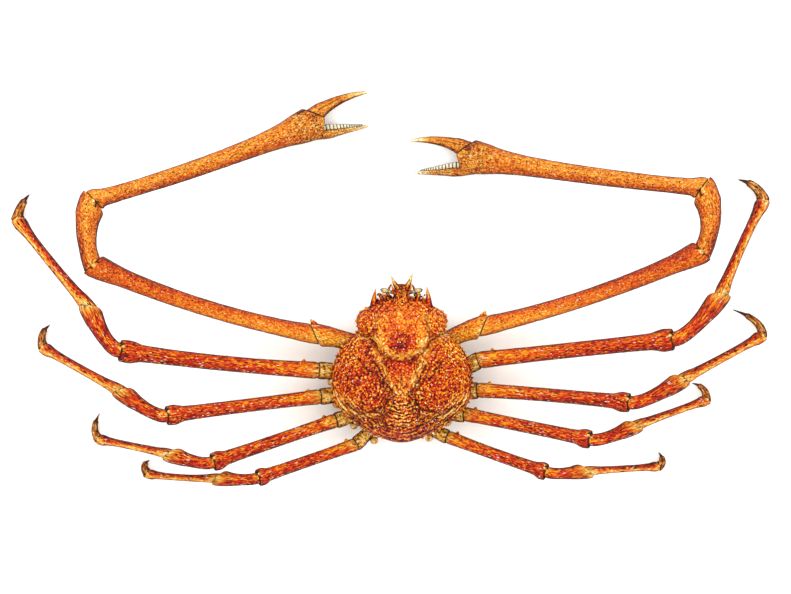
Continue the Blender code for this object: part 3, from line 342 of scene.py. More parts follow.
def tubePiece(name, bend, form, sides, startPlane=None, endPlane=None, startGap=gap / 2, inner=1.0,
              spacing=0.003, tip=False, squareness=2.0, dents=(), waves=0.0004, look=None):
    # a limb's piece as one grid, rolled into a tube along the bend, with rounded lips at its joints
    length = np.linalg.norm(bend[2] - bend[0])
    rows = tubeRows(length, spacing, tip)
    shares, scales = rows[:, 0], rows[:, 1]
    sizes = smoothCurve(form, shares)
    centres = bendPoint(bend, shares)
    tangents = bendTangent(bend, shares)
    side = unit(np.cross(upward, tangents))
    up = np.cross(tangents, side)
    angles = np.linspace(-math.pi / 2, 1.5 * math.pi, sides + 1)
    across = np.sign(np.cos(angles)) * np.abs(np.cos(angles)) ** (2 / squareness)
    through = np.sign(np.sin(angles)) * np.abs(np.sin(angles)) ** (2 / squareness)
    points = (centres[:, None] + (side * (sizes[:, :1] * scales[:, None]))[:, None] * across[None, :, None]
              + (up * (sizes[:, 1:2] * scales[:, None]))[:, None] * through[None, :, None])
    ends = ((startPlane, shares * length, bendTangent(bend, 0.0), startGap),
            (endPlane, (1 - shares) * length, bendTangent(bend, 1.0), -gap / 2))
    moved = metPlanes(points, centres, sizes, ends)
    radius = sizes[:, :2].mean(axis=1)
    backFromTip = rows[:, 3] * (radius if tip else 1.0)
    moved += (bendTangent(bend, 0.0) * rows[:, 2:3] - bendTangent(bend, 1.0) * backFromTip[:, None])[:, None]
    outward = unit(moved - centres[:, None])
    rough = bumpField(moved.reshape(-1, 3), 0.011) * 0.6 + bumpField(moved.reshape(-1, 3), 0.0045, 7.0) * 0.4
    lift = waves * rough.reshape(moved.shape[:2]) * (scales > 0.99)[:, None]
    grooves, darkness = cutGrooves(shares, angles, radius, dents)
    lift = lift - grooves
    moved += outward * lift[:, :, None]
    moved[:, :, 2] = np.maximum(moved[:, :, 2], 0.0)
    # how far each point is from the planes of both joints
    far = np.full(moved.shape[:2], 1.0)
    fromStart = far if startPlane is None else np.abs((moved - bend[0]) @ startPlane)
    fromEnd = far if endPlane is None else np.abs((moved - bend[2]) @ endPlane)
    shape = moved.shape[:2]
    values = {key: np.zeros(shape) for key in paintKeys}
    if look is not None:
        values = shellPaint(look, np.broadcast_to(shares[:, None], shape),
                            np.broadcast_to(-inner * across, shape),
                            np.broadcast_to(through, shape), fromStart, fromEnd,
                            np.broadcast_to(sizes[:, :1] + 0.0005, shape))
    hidden = np.broadcast_to((scales < 0.93)[:, None] & (not tip or shares[:, None] < 0.5), shape)
    values["dark"] = np.maximum(np.where(hidden, 1.0, values["dark"]), darkness)
    shift = (sum(map(ord, name)) % 97) * 0.31
    skin = np.stack([np.cos(angles)[None, :] * radius[:, None], np.sin(angles)[None, :] * radius[:, None],
                     np.broadcast_to(shares[:, None] * length + shift, shape)], axis=-1)
    return rolledGrid(name, moved, sides, values, skin)


def rolledGrid(name, places, sides, values, skin):
    # a flat grid whose points are moved to the places, its long edges and its poles welded
    rowCount = len(places)
    bm = bmesh.new()
    bmesh.ops.create_grid(bm, x_segments=sides, y_segments=rowCount - 1, size=1.0)
    layers = {key: bm.verts.layers.float.new(key) for key in values}
    skinLayer = bm.verts.layers.float_vector.new("skin")
    flat, skin = places.reshape(-1, 3), skin.reshape(-1, 3)
    flatValues = {key: np.ravel(values[key]) for key in values}
    for vert in bm.verts:
        column = round((vert.co.x + 1) / 2 * sides)
        row = round((vert.co.y + 1) / 2 * (rowCount - 1))
        k = row * (sides + 1) + column
        vert.co = flat[k]
        vert[skinLayer] = skin[k]
        for key, layer in layers.items():
            vert[layer] = flatValues[key][k]
    bmesh.ops.remove_doubles(bm, verts=bm.verts[:], dist=1e-6)
    return meshObject(name, bm)


def paintPoints(bm, places, paint, skin):
    # moves the points to their places and writes their paint and the pattern's own coordinates
    layers = {key: bm.verts.layers.float.new(key) for key in paint}
    skinLayer = bm.verts.layers.float_vector.new("skin")
    for k, vert in enumerate(bm.verts):
        vert.co = places[k]
        vert[skinLayer] = skin[k]
        for key, layer in layers.items():
            vert[layer] = float(paint[key][k])
    return layers


def meshObject(name, bm):
    bm.normal_update()
    bmesh.ops.recalc_face_normals(bm, faces=bm.faces[:])
    mesh = bpy.data.meshes.new(name)
    bm.to_mesh(mesh)
    bm.free()
    mesh.shade_smooth()
    obj = bpy.data.objects.new(name, mesh)
    bpy.context.scene.collection.objects.link(obj)
    return obj


def dress(obj, finish, slotName, *nodes):
    # its finish, and the solids that the piece stands for
    obj.data.materials.clear()
    obj.data.materials.append(finish)
    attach(obj, "root")
    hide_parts(*nodes)
    return obj


def sizeAt(form, place, column=1):
    # one column of a form at a share of its length
    return np.interp(place, [row[0] for row in form], [row[column] for row in form])


def scaledForm(form, width):
    return [(at, wide * width / 2, deep * width / 2) for at, wide, deep in form]


def bluntSpike(bm, foot, direction, height, radius, sides=8):
    # a closed blunt cone on the foot, its root sunk below it, drawn out of a disc in three steps
    rings = ((radius * 1.15, -radius * 0.8), (radius * 0.80, height * 0.25), (radius * 0.46, height * 0.68),
             (radius * 0.12, height))
    notes = [bm.verts.layers.float.get(key) or bm.verts.layers.float.new(key) for key in ("share", "shade")]
    turn = Vector(direction).to_track_quat("Z", "Y").to_matrix().to_4x4()
    centres = [Vector(foot) + turn @ Vector((0, 0, place)) for reach, place in rings]
    disc = bmesh.ops.create_circle(bm, cap_ends=True, segments=sides, radius=rings[0][0],
                                   matrix=Matrix.Translation(centres[0]) @ turn)["verts"]
    top = disc[0].link_faces[0]
    tall = math.hypot(height + radius * 0.8, rings[3][0])
    for step in range(4):
        if step:
            grown = bmesh.ops.extrude_face_region(bm, geom=[top])["geom"]
            if step > 1:
                bm.faces.remove(top)
            top = next(item for item in grown if isinstance(item, bmesh.types.BMFace))
        for vert in top.verts:
            if step:
                vert.co = centres[step] + (vert.co - centres[step - 1]) * (rings[step][0] / rings[step - 1][0])
            vert[notes[0]] = (vert.co - centres[0]).length / tall
            vert[notes[1]] = noise.noise(centres[0] * 130)


# Walking legs

legSet = {
    "sides": 48,
    "spacing": 0.0032,
    # end of the ischium, knee, wrist, ankle, bend of the toe and its tip
    "joints": {
        ("leg_1", "left"): ((-0.178, 0.032, 0.052), (-0.595, 0.0755, 0.165), (-0.661, 0.1665, 0.152),
                            (-0.821, 0.354, 0.024), (-0.820, 0.382, 0.016), (-0.798, 0.408, 0.0016)),
        ("leg_2", "left"): ((-0.174, -0.024, 0.052), (-0.497, -0.0625, 0.155), (-0.594, -0.011, 0.142),
                            (-0.766, 0.080, 0.022), (-0.778, 0.111, 0.014), (-0.753, 0.129, 0.0016)),
        ("leg_3", "left"): ((-0.141, -0.075, 0.050), (-0.400, -0.1615, 0.140), (-0.491, -0.1445, 0.128),
                            (-0.647, -0.116, 0.020), (-0.666, -0.095, 0.013), (-0.647, -0.061, 0.0015)),
        ("leg_4", "left"): ((-0.098, -0.126, 0.048), (-0.305, -0.1955, 0.120), (-0.390, -0.196, 0.108),
                            (-0.543, -0.190, 0.019), (-0.558, -0.171, 0.012), (-0.540, -0.161, 0.0015)),
        ("leg_1", "right"): ((0.165, 0.054, 0.052), (0.574, 0.099, 0.165), (0.675, 0.192, 0.152),
                             (0.774, 0.394, 0.024), (0.766, 0.430, 0.016), (0.722, 0.440, 0.0016)),
        ("leg_2", "right"): ((0.163, -0.010, 0.052), (0.482, -0.035, 0.155), (0.594, 0.014, 0.142),
                             (0.771, 0.105, 0.022), (0.776, 0.138, 0.014), (0.711, 0.161, 0.0016)),
        ("leg_3", "right"): ((0.135, -0.061, 0.050), (0.400, -0.1135, 0.140), (0.496, -0.084, 0.128),
                             (0.652, -0.032, 0.020), (0.655, -0.004, 0.013), (0.623, 0.004, 0.0015)),
        ("leg_4", "right"): ((0.099, -0.110, 0.048), (0.307, -0.183, 0.120), (0.393, -0.181, 0.108),
                             (0.549, -0.174, 0.019), (0.567, -0.166, 0.012), (0.551, -0.144, 0.0015)),
    },
    # how far the middles of merus and propodus bow out to the rear
    "bows": {
        ("leg_1", "left"): (0.0049, 0.0027), ("leg_2", "left"): (-0.0005, 0.0008),
        ("leg_3", "left"): (0.0000, -0.0003), ("leg_4", "left"): (0.0003, 0.0034),
        ("leg_1", "right"): (-0.0003, -0.0028), ("leg_2", "right"): (-0.0020, 0.0008),
        ("leg_3", "right"): (0.0000, 0.0001), ("leg_4", "right"): (0.0010, 0.0002),
    },
    # how far the joint at the wrist turns to the head, in degrees
    "wristTurns": {
        ("leg_1", "left"): 38, ("leg_1", "right"): 22, ("leg_2", "left"): 40, ("leg_2", "right"): 30,
        ("leg_3", "left"): 40, ("leg_3", "right"): 38, ("leg_4", "left"): 43, ("leg_4", "right"): 46,
    },
    "kneeBend": 0.26,
    # shaft widths of coxa, merus, carpus, propodus and dactyl
    "widths": {
        "leg_1": (0.0352, 0.0346, 0.0315, 0.0238, 0.0212), "leg_2": (0.0335, 0.0305, 0.0282, 0.0212, 0.0175),
        "leg_3": (0.0325, 0.0290, 0.0258, 0.0184, 0.0162), "leg_4": (0.0295, 0.0270, 0.0240, 0.0166, 0.0166),
    },
    # share of the length, width and depth over the shaft's width
    "forms": {
        "coxa": ((0.00, 0.92, 0.86), (0.08, 1.00, 0.92), (0.15, 0.99, 0.91), (0.19, 0.92, 0.85),
                 (0.24, 0.99, 0.91), (0.36, 0.98, 0.90), (0.42, 0.84, 0.78), (0.50, 0.95, 0.86),
                 (0.62, 0.99, 0.90), (0.66, 0.93, 0.85), (0.71, 1.00, 0.92), (0.94, 1.07, 1.00),
                 (1.00, 1.00, 0.92)),
        "merus": ((0.00, 0.94, 0.88), (0.02, 1.06, 0.98), (0.12, 1.00, 0.94), (0.36, 0.95, 0.90),
                  (0.68, 0.97, 0.92), (0.88, 1.06, 1.00), (0.955, 1.42, 1.14), (1.00, 1.34, 1.06)),
        "carpus": ((0.00, 1.00, 0.92), (0.15, 1.04, 0.96), (0.45, 1.02, 0.92), (0.68, 1.12, 0.98),
                   (0.84, 1.34, 1.10), (0.94, 1.42, 1.14), (1.00, 1.30, 1.04)),
        "propodus": ((0.00, 1.18, 1.02), (0.05, 1.28, 1.08), (0.18, 1.04, 0.92), (0.45, 0.90, 0.82),
                     (0.70, 0.88, 0.80), (0.86, 1.02, 0.88), (0.95, 1.30, 1.04), (1.00, 1.18, 0.94)),
        "dactyl": ((0.00, 1.12, 0.90), (0.07, 1.32, 1.02), (0.20, 1.10, 0.90), (0.38, 0.97, 0.80),
                   (0.55, 0.84, 0.70), (0.68, 0.76, 0.62), (0.735, 0.72, 0.58), (0.775, 0.46, 0.40),
                   (0.89, 0.27, 0.26), (1.00, 0.10, 0.10)),
    },
    # round knobs behind the bases: place along the base, offset to the rear
    "knobs": {
        ("leg_1", "left"): (0.70, 0.0225), ("leg_1", "right"): (0.60, 0.0130),
        ("leg_2", "left"): (0.65, 0.0190), ("leg_2", "right"): (0.60, 0.0130),
        ("leg_3", "left"): (0.54, 0.0215), ("leg_3", "right"): (0.48, 0.0185),
        ("leg_4", "left"): (0.50, 0.0205), ("leg_4", "right"): (0.45, 0.0195),
    },
    "knobRadius": 0.0085,
    # the spine before the root of the merus: place, height, root radius
    "rootSpine": (0.075, 0.005, 0.0058),
    # blunt grains along the merus: how many, height, root radius
    "grains": (40, 0.0013, 0.0017),
}

# facets of the body that carry the limbs: centre on the right, heading in degrees
hipSet = {"cheliped": ((0.067, 0.077), 24), "leg_1": ((0.085, 0.025), 6), "leg_2": ((0.085, -0.015), -6),
          "leg_3": ((0.075, -0.052), -25), "leg_4": ((0.052, -0.080), -50), "height": 0.0405}

# Tones across a piece from its rear edge to its front edge, at its root and at its far end.
# Patches and marks at the joints: reach in metres, strength, middle and spread from rear -1 to front 1.
# In the looks, flanks, rim and outline set painted shade on the sides and edges, and shine the share of
# painted highlight glints.
legLooks = {
    "coxa": {"root": (0.30, 0.54, 0.62, 0.58, 0.42), "far": (0.34, 0.58, 0.66, 0.60, 0.44), "turn": (0.3, 0.8),
             "flanks": (0.36, 0.26), "shine": 0.03, "pits": 0.24, "ivory": 0.30, "calm": 0.0,
             "startPatches": ((0.008, 0.5, 0.3, 0.6),), "endMarks": ((0.0024, 0.6, 0.0, 2.0),
                                                                     (0.0125, 0.7, 0.45, 0.10),
                                                          (0.0110, 0.6, -0.25, 0.09))},
    "merus": {"root": (0.34, 0.52, 0.60, 0.62, 0.46), "far": (0.24, 0.37, 0.43, 0.47, 0.36),
              "turn": (0.02, 0.60), "flanks": (0.28, 0.20), "shine": 0.10, "pits": 0.05, "specks": 0.12,
              "startPatches": ((0.022, 0.45, 0.2, 0.9),), "endPatches": ((0.006, 0.7, 0.45, 0.3),),
              "startMarks": ((0.010, 0.7, 0.30, 0.08), (0.013, 0.6, -0.35, 0.08)),
              "endMarks": ((0.0060, 1.0, 0.66, 0.12), (0.0045, 1.0, 0.05, 0.11))},
    "carpus": {"root": (0.28, 0.44, 0.54, 0.54, 0.42), "far": (0.26, 0.38, 0.46, 0.42, 0.30),
               "turn": (0.1, 0.6), "flanks": (0.28, 0.22), "shine": 0.08, "pits": 0.06, "specks": 0.12,
               "startPatches": ((0.008, 0.7, 0.40, 0.4),), "endPatches": ((0.017, 0.95, -0.2, 1.3),),
               "startMarks": ((0.0065, 1.0, 0.66, 0.12),), "endMarks": ((0.010, 0.9, -0.35, 0.10),)},
    "propodus": {"root": (0.48, 0.72, 0.56, 0.34, 0.24), "far": (0.46, 0.72, 0.54, 0.33, 0.22),
                 "rearIvory": 0.28,
                 "turn": (0.3, 0.8), "flanks": (0.26, 0.22), "shine": 0.06, "pits": 0.16,
                 "startPatches": ((0.016, 0.9, 0.0, 1.3),), "endPatches": ((0.008, 0.6, 0.0, 1.0),),
                 "startMarks": ((0.0055, 1.0, 0.40, 0.11),)},
    "dactyl": {"root": (0.40, 0.60, 0.64, 0.54, 0.34), "far": (0.14, 0.28, 0.32, 0.24, 0.12),
               "turn": (0.58, 0.76), "flanks": (0.20, 0.20), "shine": 0.03, "pits": 0.14, "outline": 0.45},
}

# Leg shell: long fibres of pigment lie along the limb, so its flecks are drawn out into fine streaks
legShell = shellFinish("varnishedLegShell", cell=0.0017, streak=0.0016, stretch=4.0, fine=0.4, grain=0.0018,
                       cells=0.42, streaks=0.75, patches=0.12, dot=0.0040)

# Base shell: softer and less pigmented at the hips, an ivory ground clouded with brown
jointShell = shellFinish("varnishedBaseShell", "ivory", stretch=1.2, cells=0.35, streaks=1.0, fine=0.5,
                         patches=0.5,
                         pebbles=0.5, dot=0.0046)

# Toe horn: tanned chitin, brown turning black towards the tip
toeShell = shellFinish("hornyToeShell", "horn", streaks=1.2, cells=0.42, fine=0.8)

# Spines and tubercles: the same shell, painted darker at the root and paler at the tip, partly as painted
# shade and highlight
spikeShell = shellFinish("wornSpineShell", stretch=1.0, cells=0.45, streaks=0.6, fine=1.0)

# Hinge knobs: thick smooth ivory-coloured shell, polished by use, so it shines more than its surroundings
hingeFinish = shellFinish("polishedHingeShell", "ivory", stretch=1.0, cells=0.25, streaks=0.6, varnish=0.5,
                          relief=0.3)


def hipOf(name, side):
    (x, y), heading = hipSet[name]
    sign = -1 if side == "left" else 1
    angle = math.radians(heading)
    return np.array([sign * x, y, hipSet["height"]]), np.array([sign * math.cos(angle), math.sin(angle), 0.0])


def baseBend(root, normal, end, forward=0.0):
    handle = root + normal * 0.45 * np.linalg.norm(end - root) + np.array([0.0, forward, 0.0])
    return bendOf(root, end, handle=handle)


def jointPlane(before, after):
    return unit(bendTangent(before, 1.0) + bendTangent(after, 0.0))


def turnedLevel(vector, degrees):
    # the vector turned about the vertical
    return np.array(Matrix.Rotation(math.radians(degrees), 3, "Z") @ Vector(vector))


def roundKnob(name, centre, reach, finish, slotName, node, direction=(0, 0, 1), tone=0.66):
    # a lumpy rounded knob, longer along the direction, with the paint that its finish reads
    bm = bmesh.new()
    turn = Vector(direction).to_track_quat("Z", "Y").to_matrix().to_4x4()
    bmesh.ops.create_icosphere(bm, subdivisions=3, radius=1.0)
    skinLayer = bm.verts.layers.float_vector.new("skin")
    layers = {key: bm.verts.layers.float.new(key) for key in paintKeys}
    place = Matrix.Translation(Vector(centre)) @ turn @ Matrix.Diagonal((*reach, 1.0))
    for vert in bm.verts:
        lump = 1 + 0.05 * noise.noise(vert.co * 1.7 + Vector(centre) * 90)
        height = (turn @ vert.co).normalized().z
        vert.co = place @ (vert.co * lump)
        vert[skinLayer] = vert.co
        # painted shade on the side turned away from the direction, the underside of an upright knob, and
        # painted highlight glints on the side facing it
        vert[layers["tone"]] = tone - 0.45 * (1 - float(smoothStep((height + 0.1) / 0.8)))
        vert[layers["shine"]] = 0.12 * max(height, 0.0)
        vert[layers["pits"]] = 0.05
        vert[layers["pale"]] = 1.0
    return dress(meshObject(name, bm), finish, slotName, node)


def makeLeg(name, side):
    ischium, knee, wrist, ankle, toeBend, toe = (np.array(p, float) for p in legSet["joints"][name, side])
    outer = 1 if side == "left" else -1
    merusBow, propodusBow = (outer * bow for bow in legSet["bows"][name, side])
    root, normal = hipOf(name, side)
    merus = bendOf(ischium, knee, merusBow)
    kneePlane = bendTangent(merus, 1.0)
    kneeHandle = knee + kneePlane * legSet["kneeBend"] * np.linalg.norm(wrist - knee)
    bends = {"coxa": baseBend(root, normal, ischium), "merus": merus, "carpus": bendOf(knee, wrist,
                                                                                       handle=kneeHandle),
             "propodus": bendOf(wrist, ankle, propodusBow), "dactyl": bendOf(ankle, toe, handle=toeBend)}
    wristPlane = jointPlane(bends["carpus"], bends["propodus"])
    planes = {"coxa": jointPlane(bends["coxa"], merus), "merus": kneePlane,
              "carpus": turnedLevel(wristPlane, -outer * legSet["wristTurns"][name, side]),
              "propodus": jointPlane(bends["propodus"], bends["dactyl"]), "dactyl": None}
    slots = {"coxa": "joint_shell", "dactyl": "toe_shell"}
    finishes = {"coxa": jointShell, "dactyl": toeShell}
    startPlane, startGap = normal, gap
    for k, (part, endPlane) in enumerate(planes.items()):
        node = f"{name}_{side}_{part}"
        last = part == "dactyl"
        form = scaledForm(legSet["forms"][part], legSet["widths"][name][k])
        dents = ((0.05, 0.70, 90, 0.0012, 0.0006),) if last else ()
        piece = tubePiece(node + "_shell", bends[part], form, legSet["sides"], startPlane, endPlane, startGap,
                          inner=outer, spacing=legSet["spacing"] * (0.5 if last else 1.0), tip=last,
                          dents=dents,
                          look=legLooks[part])
        dress(piece, finishes.get(part, legShell), slots.get(part, "limb_shell"), node)
        startPlane, startGap = endPlane, gap / 2
        if part in ("merus", "carpus", "propodus"):
            legHinge(node, bends[part], form, outer, 0.45 if part == "merus" else 0.1)
    place, offset = legSet["knobs"][name, side]
    sideways = outer * unit(np.cross(upward, bendTangent(bends["coxa"], place)))
    centre = bendPoint(bends["coxa"], place) + sideways * offset - np.array([0, 0, 0.003])
    roundKnob(f"{name}_{side}_base_knob", centre, (legSet["knobRadius"],) * 3, hingeFinish, "joint_shell",
              f"{name}_{side}_coxa", tone=0.60)
    legSpines(name, side, merus, outer)


def legHinge(node, bend, form, outer, lean):
    # the hinge knob on top of the joint that ends the piece, leaning towards the head
    along = bendTangent(bend, 1.0)
    front = -outer * unit(np.cross(upward, along))
    raised = unit(np.cross(along, np.cross(upward, along)))
    centre = (bendPoint(bend, 1.0) + raised * form[-1][2] * 0.92 * math.cos(lean)
              + front * form[-1][1] * 0.92 * math.sin(lean))
    size = 0.0030 + form[-1][2] * 0.05
    roundKnob(node + "_hinge", centre - along * 0.003, (size * 0.9, size * 0.6, size * 1.15), hingeFinish,
              "joint_shell", node, along)


def legSpines(name, side, merus, outer):
    # the short spine before the root of the merus, and small blunt grains along both edges
    form = scaledForm(legSet["forms"]["merus"], legSet["widths"][name][1])
    place, height, radius = legSet["rootSpine"]
    sideways = -outer * unit(np.cross(upward, bendTangent(merus, place)))
    spikes = bmesh.new()
    bluntSpike(spikes, bendPoint(merus, place) + sideways * float(sizeAt(form, place)), sideways, height,
               radius, 10)
    draw = random.Random(len(name) + 10 * int(name[-1]) + (side == "left"))
    grains, height, radius = legSet["grains"]
    for _ in range(grains):
        share = draw.uniform(0.03, 0.97)
        half = float(sizeAt(form, share))
        lift = draw.uniform(-0.1, 1.0)
        sideways = unit(np.cross(upward, bendTangent(merus, share))) * draw.choice((-1, 1))
        out = unit(sideways * math.cos(lift) + upward * math.sin(lift))
        bluntSpike(spikes, bendPoint(merus, share) + out * half * 0.97, out, height, radius, 6)
    spikeLayer(spikes)
    dress(meshObject(f"{name}_{side}_merus_spines", spikes), spikeShell, "limb_shell", f"{name}_{side}_merus")


def spikeLayer(bm, rootTone=0.28, tipTone=0.72, spread=0.30):
    # the paint of loose spikes: dark at the root and pale at the tip, partly painted shade and highlight,
    # white glints as painted highlights, and each spike a little different
    layers = {key: bm.verts.layers.float.new(key) for key in paintKeys}
    skinLayer = bm.verts.layers.float_vector.new("skin")
    share, shade = (bm.verts.layers.float[key] for key in ("share", "shade"))
    for vert in bm.verts:
        vert[layers["tone"]] = rootTone + (tipTone - rootTone) * vert[share] ** 1.5 + spread * vert[shade]
        vert[layers["shine"]] = 0.10
        vert[layers["pits"]] = 0.04
        vert[skinLayer] = vert.co


for legKey in legSet["joints"]:
    makeLeg(*legKey)
print("walking legs made")

# Clawed limbs

clawSet = {
    "sides": 64,
    "spacing": 0.0028,
    # end of the ischium, elbow, wrist, corner of the gape, tips of both fingers
    "joints": {
        "left": ((-0.185, 0.109, 0.056), (-0.656, 0.257, 0.118), (-0.654, 0.394, 0.122),
                 (-0.1665, 0.5712, 0.0257), (-0.071, 0.6275, 0.0035), (-0.070, 0.555, 0.0035)),
        "right": ((0.174, 0.126, 0.056), (0.639, 0.286, 0.118), (0.638, 0.4200, 0.122),
                  (0.1190, 0.4945, 0.0257), (0.017, 0.5230, 0.0035), (0.027, 0.4545, 0.0035)),
    },
    "bows": {"left": (0.0, 0.0155, 0.0130, -0.0097), "right": (0.013, -0.0135, -0.0165, 0.0066)},
    "ischiumCut": 34,
    # share of the length, half width and half depth
    "forms": {
        "coxa": ((0.00, 0.0185, 0.0175), (0.10, 0.0195, 0.0180), (0.26, 0.0190, 0.0178),
                 (0.32, 0.0168, 0.0165),
                 (0.40, 0.0188, 0.0175), (0.62, 0.0198, 0.0180), (0.84, 0.0228, 0.0200),
                 (0.95, 0.0240, 0.0210),
                 (1.00, 0.0215, 0.0190)),
        "merus": ((0.00, 0.0196, 0.0188), (0.03, 0.0206, 0.0196), (0.10, 0.0190, 0.0184),
                  (0.22, 0.0179, 0.0170),
                  (0.45, 0.0176, 0.0165), (0.70, 0.0185, 0.0172), (0.85, 0.0202, 0.0185),
                  (0.94, 0.0246, 0.0212),
                  (0.98, 0.0262, 0.0224), (1.00, 0.0238, 0.0207)),
        "carpus": ((0.00, 0.0208, 0.0190), (0.10, 0.0200, 0.0186), (0.24, 0.0194, 0.0186),
                   (0.46, 0.0222, 0.0204), (0.66, 0.0255, 0.0222), (0.82, 0.0297, 0.0240),
                   (0.92, 0.0302, 0.0245), (1.00, 0.0262, 0.0220)),
        "palm": ((0.00, 0.0222, 0.0194), (0.017, 0.0234, 0.0200), (0.049, 0.0190, 0.0180),
                 (0.155, 0.0176, 0.0170), (0.33, 0.0184, 0.0170), (0.534, 0.0194, 0.0172),
                 (0.70, 0.0216, 0.0182), (0.815, 0.0265, 0.0205), (0.898, 0.0345, 0.0225),
                 (0.946, 0.0368, 0.0224), (0.98, 0.0356, 0.0215), (1.01, 0.0340, 0.0200)),
        "movable": ((0.00, 0.0180, 0.0150), (0.10, 0.0170, 0.0150), (0.24, 0.0136, 0.0132),
                    (0.48, 0.0097, 0.0102), (0.67, 0.0072, 0.0078), (0.86, 0.0045, 0.0050),
                    (0.96, 0.0029, 0.0034), (1.00, 0.0014, 0.0018)),
        "fixed": ((0.00, 0.0050, 0.0090), (0.18, 0.0078, 0.0110), (0.29, 0.0097, 0.0128),
                  (0.385, 0.0102, 0.0125), (0.54, 0.0076, 0.0105), (0.70, 0.0058, 0.0080),
                  (0.865, 0.0042, 0.0055), (0.96, 0.0030, 0.0038), (1.00, 0.0014, 0.0018)),
    },
    # the cuts past the corner of the gape, in degrees from square across
    "fingerCut": 43,
    "webCut": -27,
    "movableAcross": 0.0150,
    "movableBow": 0.0082,
    "fixedBack": 0.054,
    "fixedAcross": {"left": -0.0245, "right": -0.0280},
    # teeth: place along the fixed finger, half length along it, half width, height above the finger
    "teeth": ((0.315, 0.0027, 0.0044, 0.0097), (0.371, 0.0031, 0.0046, 0.0103),
              (0.427, 0.0031, 0.0044, 0.0096),
              (0.482, 0.0030, 0.0042, 0.0090), (0.536, 0.0029, 0.0039, 0.0081),
              (0.588, 0.0027, 0.0036, 0.0076),
              (0.637, 0.0025, 0.0033, 0.0068), (0.682, 0.0021, 0.0029, 0.0057),
              (0.722, 0.0018, 0.0026, 0.0050),
              (0.758, 0.0016, 0.0023, 0.0043), (0.791, 0.0014, 0.0021, 0.0038),
              (0.821, 0.0012, 0.0019, 0.0032),
              (0.848, 0.0010, 0.0017, 0.0027), (0.873, 0.0009, 0.0015, 0.0023),
              (0.896, 0.0008, 0.0013, 0.0018)),
    # rows of granules on the palm: how far to the inner side, first and last place, pace
    "granuleRows": ((0.42, 0.16, 0.84, 0.0078), (-0.05, 0.30, 0.80, 0.0135)),
    "granule": (0.0016, 0.0017),
    # front corner of the ischium: height and root radius
    "corner": (0.016, 0.0085),
    "hingeReach": (0.0060, 0.0036, 0.0065),
    "skinStep": 0.0015,
}

# tones from the outer edge to the inner edge, at the root and at the far end; patches as on the legs
clawLooks = {
    "coxa": {"root": (0.42, 0.66, 0.70, 0.64, 0.46), "far": (0.48, 0.70, 0.68, 0.60, 0.42), "turn": (0.2, 0.7),
             "flanks": (0.30, 0.24), "shine": 0.05, "pits": 0.10, "ivory": 0.10, "calm": 0.25,
             "endPatches": ((0.010, 0.6, 0.0, 1.2),), "endMarks": ((0.0022, 1.0, 0.0, 2.0),)},
    "merus": {"root": (0.53, 0.65, 0.60, 0.53, 0.38), "far": (0.40, 0.51, 0.49, 0.42, 0.30),
              "turn": (0.15, 0.85),
              "flanks": (0.24, 0.18), "shine": 0.06, "pits": 0.12, "calm": 0.45, "ivory": 0.26,
              "startPatches": ((0.008, 0.6, 0.0, 1.2),), "endPatches": ((0.007, 0.7, 0.1, 0.5),),
              "startMarks": ((0.0022, 1.0, 0.0, 2.0),),
              "endMarks": ((0.008, 1.0, 0.42, 0.10), (0.007, 1.0, -0.25, 0.10))},
    "carpus": {"root": (0.22, 0.42, 0.60, 0.56, 0.40), "far": (0.40, 0.56, 0.62, 0.50, 0.34),
               "turn": (0.2, 0.85),
               "flanks": (0.24, 0.24), "shine": 0.05, "pits": 0.24, "calm": 0.30, "ivory": 0.40,
               "startPatches": ((0.008, 0.7, 0.1, 0.5),), "endPatches": ((0.010, 0.6, 0.1, 0.8),),
               "startMarks": ((0.009, 1.0, 0.10, 0.09),), "endMarks": ((0.010, 1.0, 0.35, 0.10),)},
    "palm": {"root": (0.48, 0.63, 0.59, 0.46, 0.33), "far": (0.40, 0.54, 0.54, 0.50, 0.40),
             "turn": (0.72, 0.95),
             "flanks": (0.22, 0.18), "shine": 0.05, "pits": 0.24, "calm": 0.35, "rim": 0.9, "ivory": 0.42,
             "startPatches": ((0.010, 0.6, 0.0, 0.9),), "startMarks": ((0.008, 1.0, 0.3, 0.10),)},
    "finger": {"root": (0.36, 0.54, 0.60, 0.54, 0.36), "far": (0.80, 0.94, 0.99, 0.94, 0.78),
               "turn": (0.56, 0.90),
               "flanks": (0.24, 0.24), "shine": 0.02, "pits": 0.26, "calm": 0.35, "rim": 1.0, "ivory": 0.55,
               "farIvory": 0.4},
}

# Claw shell: smoother than the legs, orange and golden, with many small brown pits
clawShell = shellFinish("varnishedClawShell", stretch=1.6, patches=0.3, streaks=0.9, streak=0.0017,
                        cell=0.0019,
                        cells=0.45, fine=0.6, grain=0.0018, pebbles=0.4, dot=0.0040, dotSize=0.30)


# Teeth of the claw: dense enamel-like shell, smooth and white with cream roots
def makeToothFinish():
    material, tree, shader = newFinish("clawToothEnamel", 0.25, 0.3, 0.08)
    cloud = drift(tree, coordinates(tree), 0.003, 3.0)
    ramp = addNode(tree, "ValToRGB", {0: cloud}, ((0.3, "8C7440"), (0.46, "C0B490"), (0.8, "E4E0D4")))
    setSurface(tree, shader, ramp.outputs[0], (cloud, 0.2, 0.0004), ranged(tree, cloud, 0.0, 1.0, 0.18, 0.38))
    return material


toothFinish = makeToothFinish()


